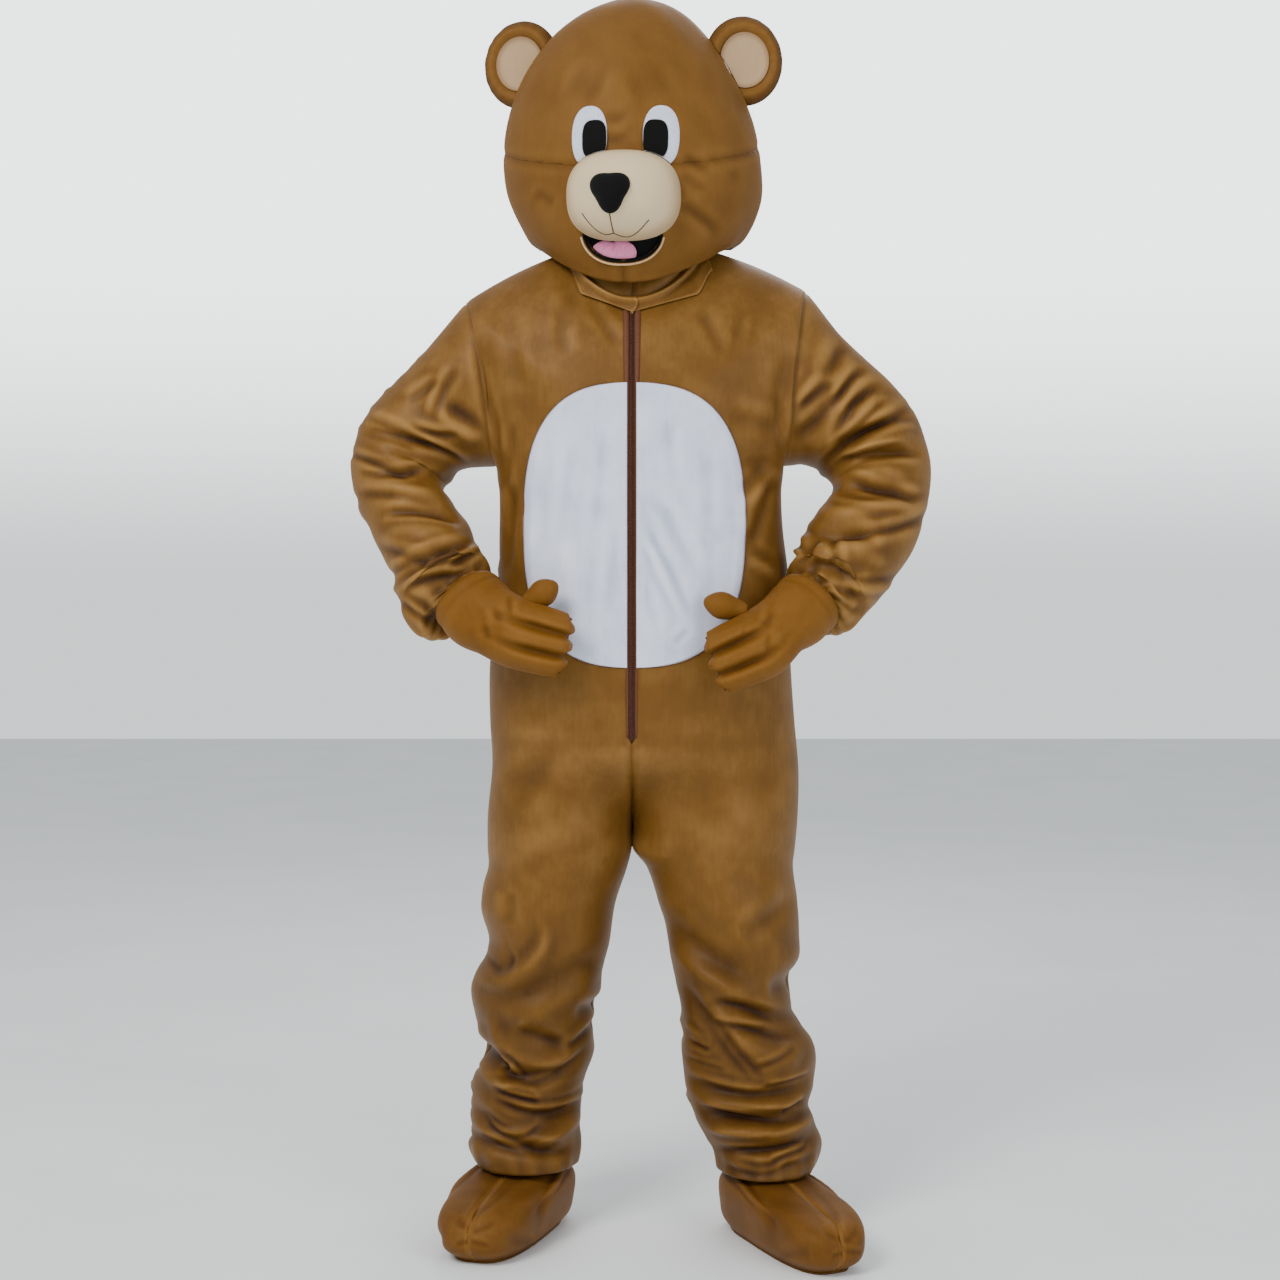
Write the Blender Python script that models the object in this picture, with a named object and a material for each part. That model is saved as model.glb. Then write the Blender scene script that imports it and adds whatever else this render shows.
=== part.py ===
"""A worn bear costume: zipped plush suit, hollow padded head, mittens and shoe covers.

Run it with: blender --background --python part.py
Everything is in metres. +X is the wearer's left and -Y is the front. Heights in the
tables are above the soles; one empty lowers the whole costume so that the origin lies
between the shoulders, where the wearer carries it.
"""

import math
from bisect import bisect_right

import bmesh
import bpy
from mathutils import Matrix, Vector

# ---------------------------------------------------------------- driving dimensions

HOLD_HEIGHT = 1.440  # the middle of the shoulder seams, where the costume is carried
SEAM_GAP = 0.0003  # between two pieces that meet at a seam
LAY_GAP = 0.0007  # under a piece that lies on a curved panel
PLUSH = 0.002  # wall of the suit's short plush
PADDED_WALL = 0.008  # plush on foam, on the head
FELT = 0.0015
SHOE_WALL = 0.0025

NECK_FRONT = 1.405
NECK_BACK = 1.490
ARMPIT = 1.165
ARMHOLE_DEPTH = 0.088
# Each side's neck point, shoulder tip, and the armhole's distance at its middle and foot.
SHOULDERS = {
    "left": (Vector((0.110, 0.004, 1.494)), Vector((0.264, 0.004, 1.430)), 0.243, 0.225),
    "right": (Vector((0.104, 0.004, 1.488)), Vector((0.252, 0.004, 1.414)), 0.226, 0.203),
}
SHOULDER_CROWN = 0.005  # how far the middle of the shoulder seam arches
# Between these lengths of a panel the chest comes free of the armhole's pull, up to
# that share of its width.
CHEST_TOP, CHEST_FOOT = 0.8, 1.8
CHEST_WIDTH = 0.35
CROTCH = 0.585
CLEFT_RISE = 0.165  # over this height above the crotch the two legs part
HEM = 0.100
HEM_DROP = 0.010  # how much lower the hem is behind

ZIP_BOTTOM = 0.755
ZIP_SLOT = 0.0065  # half the width between the panels' edges along the zip
ZIP_END = 0.012  # length over which the panels close below the zip
ZIP_TAPE = 0.012
ZIP_COIL = 0.003
ZIP_FOOT = 0.0021  # how much deeper the zip lies where the panels close over its end
SLIDER = 0.014  # the closed zip's slider, just under the collar
SLIDER_HALF = 0.0048

COLLAR_RISE = 0.048
HEAD_YAW = math.radians(-5)
CHEEK_SEAM = (1.645, 0.31)  # the cheek seam's height at the head's side, and its slope
CROWN_SEAM = 0.012  # depth of the seam that runs over the crown, ear to ear

# Faces across each panel and down each of its lengths.
PANEL_ACROSS = 7
SHOULDER_ROWS = 2
ARMHOLE_ROWS = 7
BODY_ROWS = 6  # from the armpit to the zip's end
SEAT_ROWS = 3
THIGH_ROWS = 5
SHIN_ROWS = 16
SHIN_TOP = 0.405
UPPER_ARM_ROWS = 6
FOREARM_ROWS = 18
ELBOW = 0.24  # share of the sleeve above its elbow folds
SLEEVE_TREND = 0.10  # share of the sleeve to each side that gives a ring its direction
COLLAR_LEAN = 0.010  # how far the collar's top leans in

SIDES = {"left": 1, "right": -1}


class Table:
    """Rows of named measurements, read smoothly at any value of the first column."""

    def __init__(self, columns, *rows):
        self.columns = columns
        self.rows = sorted(rows)
        self.keys = [row[0] for row in self.rows]

    def at(self, key):
        last = len(self.rows) - 1
        i = min(max(bisect_right(self.keys, key) - 1, 0), last - 1)
        step = self.keys[i + 1] - self.keys[i]
        t = min(max((key - self.keys[i]) / step, 0.0), 1.0)
        found = {}
        for column, name in enumerate(self.columns):
            a, b = self.rows[i][column], self.rows[i + 1][column]
            slopes = []
            for k in (i, i + 1):
                low, high = max(k - 1, 0), min(k + 1, last)
                rise = self.rows[high][column] - self.rows[low][column]
                slopes.append(rise / (self.keys[high] - self.keys[low]) * step)
            found[name] = (
                (2 * t**3 - 3 * t**2 + 1) * a
                + (t**3 - 2 * t**2 + t) * slopes[0]
                + (3 * t**2 - 2 * t**3) * b
                + (t**3 - t**2) * slopes[1]
            )
        return found


# Half widths to the wearer's right and left, and depths to the front and back.
BODY = Table(
    ("height", "right", "left", "front", "back"),
    (1.490, 0.100, 0.100, 0.060, 0.070),
    (1.440, 0.150, 0.150, 0.082, 0.096),
    (1.405, 0.180, 0.180, 0.098, 0.108),
    (1.360, 0.210, 0.220, 0.126, 0.117),
    (1.300, 0.208, 0.225, 0.146, 0.124),
    (1.230, 0.205, 0.224, 0.158, 0.124),
    (1.165, 0.201, 0.221, 0.164, 0.118),
    (1.100, 0.190, 0.226, 0.168, 0.112),
    (1.020, 0.199, 0.236, 0.172, 0.112),
    (0.940, 0.208, 0.238, 0.174, 0.124),
    (0.860, 0.216, 0.241, 0.172, 0.140),
    (0.780, 0.216, 0.247, 0.164, 0.146),
    (0.700, 0.212, 0.254, 0.152, 0.140),
    (0.620, 0.221, 0.252, 0.138, 0.130),
)

# Each leg as the side distances of its inseam and side seam, and its depths.
LEG_COLUMNS = ("height", "inner", "outer", "front", "back")
LEGS = {
    "right": Table(
        LEG_COLUMNS,
        (0.790, 0.000, 0.216, 0.160, 0.142),
        (0.690, 0.000, 0.214, 0.146, 0.136),
        (0.620, 0.000, 0.221, 0.134, 0.128),
        (0.585, 0.000, 0.221, 0.128, 0.124),
        (0.555, 0.007, 0.220, 0.124, 0.120),
        (0.500, 0.025, 0.233, 0.120, 0.110),
        (0.440, 0.034, 0.218, 0.118, 0.098),
        (0.375, 0.050, 0.246, 0.114, 0.092),
        (0.315, 0.059, 0.237, 0.102, 0.096),
        (0.270, 0.059, 0.229, 0.092, 0.100),
        (0.225, 0.073, 0.246, 0.090, 0.100),
        (0.165, 0.081, 0.248, 0.088, 0.092),
        (0.125, 0.080, 0.250, 0.092, 0.096),
        (0.100, 0.084, 0.240, 0.094, 0.100),
    ),
    "left": Table(
        LEG_COLUMNS,
        (0.790, 0.000, 0.247, 0.160, 0.142),
        (0.690, 0.000, 0.254, 0.146, 0.136),
        (0.620, 0.000, 0.252, 0.134, 0.128),
        (0.585, 0.000, 0.249, 0.128, 0.122),
        (0.555, 0.022, 0.246, 0.126, 0.116),
        (0.500, 0.040, 0.253, 0.126, 0.104),
        (0.440, 0.054, 0.254, 0.126, 0.088),
        (0.375, 0.067, 0.244, 0.126, 0.076),
        (0.340, 0.074, 0.243, 0.124, 0.072),
        (0.285, 0.075, 0.278, 0.120, 0.070),
        (0.225, 0.080, 0.277, 0.118, 0.068),
        (0.190, 0.090, 0.269, 0.118, 0.062),
        (0.150, 0.112, 0.287, 0.122, 0.060),
        (0.125, 0.126, 0.286, 0.126, 0.062),
        (0.100, 0.130, 0.276, 0.128, 0.064),
    ),
}

# Folds pressed into a wall, as strokes in front or back elevation: distances to the
# wearer's own side and heights of both ends, how far the middle bows (up, on a stroke
# that runs outward), the fold's half width, and its depth: ridges plus, troughs minus.
FOLD_COLUMNS = ("x", "z", "x_end", "z_end", "bow", "width", "depth")
LEG_FOLDS = {
    ("right", "front"): (
        (0.129, 0.480, 0.229, 0.392, -0.034, 0.016, 0.008),
        (0.181, 0.440, 0.218, 0.418, -0.020, 0.013, -0.009),
        (0.047, 0.433, 0.229, 0.369, -0.016, 0.018, -0.008),
        (0.058, 0.399, 0.166, 0.334, 0.000, 0.022, 0.008),
        (0.103, 0.300, 0.164, 0.328, 0.000, 0.014, -0.007),
        (0.077, 0.288, 0.214, 0.340, -0.038, 0.013, 0.010),
        (0.073, 0.291, 0.199, 0.262, -0.034, 0.012, -0.011),
        (0.095, 0.250, 0.231, 0.254, -0.020, 0.012, 0.009),
        (0.185, 0.262, 0.260, 0.290, 0.000, 0.013, -0.014),
        (0.081, 0.200, 0.203, 0.217, -0.018, 0.012, -0.012),
        (0.142, 0.176, 0.240, 0.191, -0.010, 0.011, -0.008),
        (0.084, 0.172, 0.147, 0.142, 0.000, 0.011, 0.007),
        (0.090, 0.126, 0.250, 0.146, 0.004, 0.011, -0.013),
        (0.030, 0.345, 0.085, 0.345, 0.000, 0.012, -0.008),
    ),
    ("right", "back"): (
        (0.060, 0.450, 0.220, 0.400, -0.020, 0.018, -0.008),
        (0.050, 0.385, 0.200, 0.350, -0.018, 0.018, 0.009),
        (0.070, 0.330, 0.240, 0.310, 0.012, 0.014, -0.010),
        (0.060, 0.270, 0.220, 0.292, -0.014, 0.013, 0.009),
        (0.080, 0.232, 0.240, 0.246, 0.010, 0.012, -0.011),
        (0.080, 0.196, 0.230, 0.178, -0.010, 0.012, 0.009),
        (0.090, 0.150, 0.250, 0.158, 0.006, 0.012, -0.012),
        (0.090, 0.118, 0.230, 0.108, 0.000, 0.011, 0.007),
    ),
    ("left", "front"): (
        (0.053, 0.485, 0.171, 0.418, -0.018, 0.018, -0.008),
        (0.066, 0.440, 0.171, 0.380, -0.006, 0.014, 0.008),
        (0.075, 0.392, 0.201, 0.243, -0.009, 0.013, -0.010),
        (0.116, 0.366, 0.246, 0.306, 0.016, 0.012, -0.009),
        (0.127, 0.334, 0.238, 0.299, 0.006, 0.011, -0.006),
        (0.145, 0.310, 0.250, 0.272, 0.000, 0.022, 0.010),
        (0.086, 0.243, 0.270, 0.246, -0.020, 0.012, -0.011),
        (0.092, 0.224, 0.246, 0.204, -0.004, 0.012, 0.010),
        (0.106, 0.196, 0.250, 0.188, 0.000, 0.012, -0.014),
        (0.110, 0.172, 0.270, 0.178, 0.000, 0.012, 0.010),
        (0.126, 0.138, 0.280, 0.152, 0.000, 0.011, -0.011),
        (0.138, 0.112, 0.280, 0.130, -0.004, 0.011, -0.009),
        (0.205, 0.386, 0.280, 0.386, 0.000, 0.020, -0.012),
    ),
    ("left", "back"): (
        (0.080, 0.460, 0.240, 0.425, 0.016, 0.020, -0.008),
        (0.070, 0.380, 0.240, 0.352, 0.014, 0.018, 0.008),
        (0.090, 0.318, 0.260, 0.300, -0.014, 0.014, -0.011),
        (0.080, 0.276, 0.250, 0.262, 0.010, 0.013, 0.010),
        (0.100, 0.232, 0.270, 0.226, -0.010, 0.012, -0.012),
        (0.100, 0.196, 0.260, 0.200, 0.008, 0.012, 0.009),
        (0.120, 0.160, 0.280, 0.154, 0.000, 0.012, -0.012),
        (0.130, 0.124, 0.270, 0.132, 0.000, 0.011, 0.008),
    ),
}
# The same on the body, clear of the pale belly.
BODY_FOLDS = {
    ("right", "front"): (
        (0.197, 1.195, 0.226, 1.350, 0.000, 0.014, -0.006),
        (0.060, 0.640, 0.190, 0.700, 0.020, 0.022, -0.006),
        (0.050, 0.600, 0.160, 0.560, 0.010, 0.020, -0.006),
    ),
    ("left", "front"): (
        (0.205, 1.190, 0.236, 1.330, 0.000, 0.014, -0.006),
        (0.060, 0.650, 0.230, 0.690, 0.020, 0.024, -0.007),
        (0.060, 0.590, 0.180, 0.540, 0.010, 0.022, -0.006),
    ),
    ("right", "back"): (
        (0.120, 1.120, 0.200, 1.220, 0.010, 0.022, -0.008),
        (0.000, 1.060, 0.190, 1.030, -0.020, 0.024, -0.008),
        (0.020, 0.780, 0.150, 0.700, -0.020, 0.024, -0.008),
        (0.060, 0.640, 0.200, 0.590, -0.014, 0.022, -0.007),
    ),
    ("left", "back"): (
        (0.120, 1.140, 0.215, 1.230, 0.010, 0.022, -0.008),
        (0.000, 1.000, 0.200, 0.980, 0.018, 0.024, -0.008),
        (0.020, 0.740, 0.170, 0.680, -0.020, 0.024, -0.008),
        (0.050, 0.620, 0.220, 0.570, -0.014, 0.022, -0.007),
    ),
}
SUIT_FOLDS = {place: rows + BODY_FOLDS[place] for place, rows in LEG_FOLDS.items()}

# Each arm's outer and inner line in elevation, how far its middle lies behind, and half
# its depth. The sleeve leaves the armhole at 0 and is gathered on its elastic at 1.
ARM_COLUMNS = ("along", "outer_x", "outer_z", "inner_x", "inner_z", "y", "depth")
ARMS = {
    "left": Table(
        ARM_COLUMNS,
        (0.00, 0.264, 1.430, 0.225, 1.165, 0.002, 0.088),
        (0.06, 0.284, 1.405, 0.241, 1.166, 0.003, 0.089),
        (0.12, 0.312, 1.368, 0.258, 1.167, 0.004, 0.089),
        (0.18, 0.350, 1.332, 0.274, 1.164, 0.006, 0.088),
        (0.24, 0.392, 1.294, 0.287, 1.157, 0.008, 0.086),
        (0.30, 0.428, 1.250, 0.296, 1.146, 0.008, 0.084),
        (0.38, 0.447, 1.203, 0.301, 1.131, 0.005, 0.082),
        (0.46, 0.454, 1.160, 0.299, 1.113, -0.008, 0.079),
        (0.54, 0.446, 1.106, 0.284, 1.096, -0.028, 0.076),
        (0.62, 0.424, 1.042, 0.267, 1.076, -0.052, 0.074),
        (0.70, 0.388, 0.992, 0.254, 1.055, -0.078, 0.072),
        (0.78, 0.362, 0.960, 0.246, 1.034, -0.098, 0.069),
        (0.85, 0.334, 0.934, 0.236, 1.020, -0.112, 0.065),
        (0.91, 0.311, 0.918, 0.240, 1.002, -0.116, 0.052),
        (0.95, 0.290, 0.940, 0.238, 0.992, -0.137, 0.034),
        (1.00, 0.276, 0.934, 0.230, 0.980, -0.147, 0.033),
    ),
    "right": Table(
        ARM_COLUMNS,
        (0.00, 0.252, 1.414, 0.203, 1.165, 0.002, 0.088),
        (0.06, 0.272, 1.390, 0.225, 1.164, 0.003, 0.089),
        (0.12, 0.298, 1.358, 0.246, 1.163, 0.004, 0.089),
        (0.18, 0.331, 1.322, 0.262, 1.159, 0.006, 0.087),
        (0.24, 0.371, 1.283, 0.273, 1.152, 0.008, 0.084),
        (0.30, 0.406, 1.242, 0.281, 1.142, 0.008, 0.081),
        (0.38, 0.423, 1.198, 0.284, 1.128, 0.005, 0.078),
        (0.46, 0.427, 1.158, 0.280, 1.112, -0.008, 0.075),
        (0.54, 0.412, 1.104, 0.265, 1.096, -0.028, 0.071),
        (0.62, 0.383, 1.045, 0.246, 1.077, -0.052, 0.069),
        (0.70, 0.356, 0.998, 0.234, 1.052, -0.078, 0.067),
        (0.78, 0.346, 0.968, 0.222, 1.034, -0.098, 0.068),
        (0.85, 0.332, 0.934, 0.214, 1.022, -0.112, 0.064),
        (0.91, 0.303, 0.910, 0.218, 1.004, -0.117, 0.050),
        (0.95, 0.275, 0.945, 0.217, 0.997, -0.137, 0.034),
        (1.00, 0.260, 0.939, 0.210, 0.984, -0.147, 0.034),
    ),
}
SLEEVE_FOLDS = {
    ("right", "front"): (
        (0.262, 1.168, 0.394, 1.223, 0.004, 0.015, -0.009),
        (0.290, 1.140, 0.420, 1.168, 0.008, 0.014, -0.006),
        (0.254, 1.077, 0.360, 1.084, 0.014, 0.014, -0.008),
        (0.250, 1.055, 0.367, 1.055, 0.012, 0.016, 0.006),
        (0.230, 1.035, 0.343, 0.985, 0.018, 0.015, -0.007),
        (0.240, 1.000, 0.302, 0.950, 0.012, 0.015, -0.003),
        (0.267, 0.925, 0.339, 0.976, 0.000, 0.011, -0.008),
        (0.232, 1.204, 0.302, 1.265, -0.008, 0.015, 0.007),
        (0.295, 1.310, 0.315, 1.230, 0.000, 0.017, -0.007),
    ),
    ("left", "front"): (
        (0.254, 1.243, 0.314, 1.350, -0.018, 0.015, -0.008),
        (0.249, 1.204, 0.352, 1.304, 0.000, 0.013, -0.009),
        (0.306, 1.195, 0.384, 1.282, 0.018, 0.012, -0.011),
        (0.288, 1.162, 0.384, 1.230, 0.008, 0.013, -0.014),
        (0.297, 1.150, 0.436, 1.178, 0.014, 0.011, -0.010),
        (0.319, 1.177, 0.420, 1.212, 0.006, 0.011, 0.007),
        (0.301, 1.125, 0.420, 1.108, 0.018, 0.012, -0.010),
        (0.288, 1.094, 0.424, 1.125, -0.010, 0.014, 0.008),
        (0.262, 1.060, 0.354, 1.051, 0.012, 0.012, -0.011),
        (0.270, 1.034, 0.384, 1.068, -0.008, 0.014, 0.008),
        (0.253, 1.018, 0.341, 1.003, 0.004, 0.011, -0.009),
        (0.271, 0.998, 0.297, 0.930, 0.000, 0.010, -0.009),
        (0.296, 1.010, 0.338, 0.945, 0.000, 0.011, -0.009),
    ),
    ("right", "back"): (
        (0.250, 1.200, 0.400, 1.225, 0.010, 0.018, -0.008),
        (0.270, 1.150, 0.420, 1.170, -0.010, 0.014, 0.009),
        (0.270, 1.120, 0.410, 1.125, 0.012, 0.013, -0.010),
        (0.260, 1.075, 0.390, 1.080, -0.012, 0.013, 0.009),
        (0.240, 1.040, 0.370, 1.030, 0.010, 0.012, -0.010),
        (0.220, 1.000, 0.340, 0.970, 0.010, 0.012, 0.008),
    ),
    ("left", "back"): (
        (0.260, 1.215, 0.410, 1.230, 0.012, 0.018, -0.009),
        (0.290, 1.165, 0.440, 1.180, -0.012, 0.014, 0.009),
        (0.290, 1.130, 0.430, 1.130, 0.014, 0.013, -0.010),
        (0.280, 1.085, 0.420, 1.095, -0.012, 0.013, 0.009),
        (0.260, 1.045, 0.400, 1.035, 0.012, 0.012, -0.010),
        (0.240, 1.005, 0.370, 0.980, 0.010, 0.012, 0.008),
    ),
}

# Each mitten's middle line from cuff to finger tips, half its breadth and half its
# thickness. Lobes is how deep the stitched lines between the three fingers sink.
MITTEN_COLUMNS = ("along", "x", "y", "z", "breadth", "thickness", "lobes")
MITTENS = {
    "left": Table(
        MITTEN_COLUMNS,
        (0.00, 0.2600, -0.1400, 0.9640, 0.049, 0.046, 0.00),
        (0.15, 0.2420, -0.1580, 0.9460, 0.052, 0.047, 0.00),
        (0.32, 0.2160, -0.1790, 0.9280, 0.047, 0.041, 0.00),
        (0.50, 0.1870, -0.1970, 0.9050, 0.052, 0.034, 0.15),
        (0.66, 0.1610, -0.2080, 0.8930, 0.051, 0.031, 0.45),
        (0.82, 0.1350, -0.2140, 0.8820, 0.049, 0.028, 0.50),
        (0.93, 0.1190, -0.2150, 0.8750, 0.046, 0.021, 0.45),
        (1.00, 0.1110, -0.2140, 0.8720, 0.040, 0.000, 0.00),
    ),
    "right": Table(
        MITTEN_COLUMNS,
        (0.00, 0.2420, -0.1400, 0.9690, 0.052, 0.046, 0.00),
        (0.15, 0.2240, -0.1580, 0.9490, 0.057, 0.047, 0.00),
        (0.32, 0.1980, -0.1790, 0.9340, 0.052, 0.041, 0.00),
        (0.50, 0.1680, -0.1970, 0.9200, 0.052, 0.034, 0.15),
        (0.66, 0.1400, -0.2070, 0.9120, 0.051, 0.031, 0.45),
        (0.82, 0.1120, -0.2130, 0.9050, 0.049, 0.028, 0.50),
        (0.93, 0.0940, -0.2140, 0.9010, 0.046, 0.021, 0.45),
        (1.00, 0.0850, -0.2130, 0.8990, 0.040, 0.000, 0.00),
    ),
}
FINGER_NOTCH = 0.010  # how far the finger tips round back to the lines between them
# Each thumb's root and tip.
THUMBS = {
    "left": (Vector((0.172, -0.190, 0.948)), Vector((0.1036, -0.205, 0.966))),
    "right": (Vector((0.160, -0.190, 0.955)), Vector((0.1070, -0.205, 0.991))),
}
THUMB_RADIUS = 0.019

# Level sections of a shoe cover: how far toe and heel reach from the ankle's axis.
SHOE = Table(
    ("height", "toe", "heel", "half"),
    (0.0033, 0.214, 0.078, 0.062),
    (0.020, 0.238, 0.090, 0.078),
    (0.046, 0.242, 0.090, 0.085),
    (0.066, 0.226, 0.088, 0.088),
    (0.080, 0.184, 0.084, 0.085),
    (0.090, 0.108, 0.074, 0.070),
    (0.098, 0.064, 0.068, 0.057),
    (0.118, 0.060, 0.062, 0.048),
    (0.145, 0.056, 0.058, 0.042),
)
SHOE_HEIGHTS = (0.0033, 0.016, 0.036, 0.054, 0.068, 0.080, 0.090, 0.099, 0.145)
SHOE_AROUND = 8
SOLE = 0.003
ANKLES = {"left": Vector((0.206, -0.041, 0)), "right": Vector((-0.169, 0.008, 0))}
FOOT_YAW = {"left": math.radians(22), "right": math.radians(-16.5)}
SHOE_WAIST = (0.88, 0.97)  # share of the half width at the heel and at the toe
TOE_BLUNTNESS = {"left": 0.58, "right": 0.76}  # 1 is a round toe, less a blunter one
SHOE_SPREAD = {"left": (0.865, 1.045), "right": (1.0, 1.0)}  # each one's breadth and length

# Level sections of the head, from crown to neck: half width, depth in front and behind,
# how far the section leans to the left, and how far its sides and back are raised, so
# that the neck's edge dips under the chin and clears the shoulders.
HEAD = Table(
    ("step", "height", "half", "front", "back", "lean", "sides", "rear"),
    (0, 1.868, 0.000, 0.000, 0.000, 0.004, 0.000, 0.000),
    (1, 1.862, 0.037, 0.036, 0.038, 0.004, 0.000, 0.000),
    (2, 1.845, 0.075, 0.070, 0.074, 0.001, 0.000, 0.000),
    (3, 1.815, 0.112, 0.101, 0.106, -0.004, 0.000, 0.000),
    (4, 1.776, 0.143, 0.128, 0.132, -0.005, 0.000, 0.000),
    (5, 1.728, 0.169, 0.149, 0.152, -0.005, 0.000, 0.000),
    (6, 1.675, 0.187, 0.163, 0.165, -0.003, 0.002, 0.000),
    (7, 1.621, 0.195, 0.172, 0.170, 0.000, 0.006, 0.002),
    (8, 1.568, 0.194, 0.175, 0.166, 0.004, 0.012, 0.008),
    (9, 1.517, 0.182, 0.169, 0.154, 0.006, 0.024, 0.022),
    (10, 1.470, 0.164, 0.152, 0.138, 0.006, 0.038, 0.048),
    (11, 1.430, 0.146, 0.126, 0.124, 0.006, 0.063, 0.088),
)
HEAD_STEPS = 12
HEAD_AROUND = 24

# Soft features: centre across and up, half breadth and height, and squareness.
MUZZLE = {"centre": (0.002, 1.550), "half": (0.083, 0.064), "square": 2.5}
MUZZLE_REACH = 0.066
NOSE = {"centre": (-0.010, 1.548), "half": (0.0275, 0.0275), "square": 2.0}
NOSE_REACH = 0.014
NOSE_CORNERS = 0.144  # how far the nose's three corners stand out of its circle
EYE = {"centre": (0.0517, 1.636), "half": (0.0260, 0.045), "square": 2.3}
PUPIL = {"centre": (0.0435, 1.6305), "half": (0.0175, 0.028), "square": 3.0}
EYES_SHIFT = 0.005  # the eyes sit that far to the left of the head's middle
EYE_RISE, PUPIL_RISE = 0.0028, 0.0012
MOUTH = {"centre": (0.000, 1.507), "half": (0.060, 0.051), "square": 2.3}
MOUTH_TOP = 1.508  # the muzzle hides what is above
TONGUE = {"centre": (-0.0156, 1.467), "half": (0.036, 0.020), "square": 2.2}
TONGUE_NOTCH = 0.22
TONGUE_RISE = 0.006
LIP_RADIUS = 0.0025
EAR_CENTRE = (0.168, 0.004, 1.774)
EAR_TURN = 14  # degrees that an ear's front looks inward
EARS = {"left": (0.060, 0.067), "right": (0.061, 0.066)}  # half breadth and height
EAR_BACK = 0.012
EAR_INNER = 0.62  # share of the ear that its pale lining covers

# The belly's outline: the height of its widest place, its reach to each side of the
# zip and above and below, and its squareness.
BELLY = {"centre": 1.075, "left": 0.166, "right": 0.159, "up": 0.207, "down": 0.207, "square": 2.7}

PALETTE = {  # base colour, roughness, metallic
    "plush": ((0.32, 0.16, 0.045), 0.75, 0.0),
    "belly_plush": ((0.72, 0.74, 0.80), 0.75, 0.0),
    "cream_plush": ((0.80, 0.62, 0.42), 0.75, 0.0),
    "ear_plush": ((0.62, 0.44, 0.31), 0.75, 0.0),
    "black_felt": ((0.006, 0.006, 0.008), 0.85, 0.0),
    "white_felt": ((0.75, 0.78, 0.86), 0.80, 0.0),
    "pink_felt": ((0.80, 0.36, 0.50), 0.80, 0.0),
    "zip_tape": ((0.12, 0.035, 0.015), 0.70, 0.0),
    "zip_coil": ((0.05, 0.018, 0.010), 0.45, 0.0),
    "zip_metal": ((0.35, 0.25, 0.14), 0.35, 1.0),
}


# ---------------------------------------------------------------------------- tools


def lerp(a, b, t):
    return a + (b - a) * t


def smooth(t):
    t = min(max(t, 0.0), 1.0)
    return t * t * (3 - 2 * t)


def power(value, exponent):
    return math.copysign(abs(value) ** exponent, value)


def steps(first, last, count):
    """count + 1 even values from first to last."""
    return [lerp(first, last, k / count) for k in range(count + 1)]


def material(slot):
    found = bpy.data.materials.get(slot)
    if found:
        return found
    made = bpy.data.materials.new(slot)
    made.use_nodes = True
    shader = made.node_tree.nodes["Principled BSDF"]
    colour, roughness, metallic = PALETTE[slot]
    shader.inputs["Base Color"].default_value = (*colour, 1)
    shader.inputs["Roughness"].default_value = roughness
    shader.inputs["Metallic"].default_value = metallic
    return made


def add_object(name, mesh, slot, parent):
    made = bpy.data.objects.new(name, mesh)
    mesh.materials.append(material(slot))
    bpy.context.scene.collection.objects.link(made)
    made.parent = parent
    mesh.shade_smooth()
    mesh.set_sharp_from_angle(angle=math.radians(40))
    return made


def mesh_from(name, build):
    """A mesh that build(bm) fills, with its normals pointing out."""
    bm = bmesh.new()
    build(bm)
    bmesh.ops.recalc_face_normals(bm, faces=bm.faces)
    mesh = bpy.data.meshes.new(name)
    bm.to_mesh(mesh)
    bm.free()
    return mesh


def fold_push(folds, x, z):
    """How far the folds push out a wall, at a place of the elevation."""
    push = 0.0
    for row in folds:
        fold = dict(zip(FOLD_COLUMNS, row))
        run_x, run_z = fold["x_end"] - fold["x"], fold["z_end"] - fold["z"]
        length = math.hypot(run_x, run_z)
        from_x, from_z = x - fold["x"], z - fold["z"]
        share = 2 * (from_x * run_x + from_z * run_z) / length**2 - 1
        if abs(share) >= 1:
            continue
        off = (from_z * run_x - from_x * run_z) / length
        across = (off - fold["bow"] * (1 - share**2)) / fold["width"]
        push += fold["depth"] * (1 - share**4) ** 2 * math.exp(-(across**2))
    return push


# --------------------------------------------------------------------- walls of cloth


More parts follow.
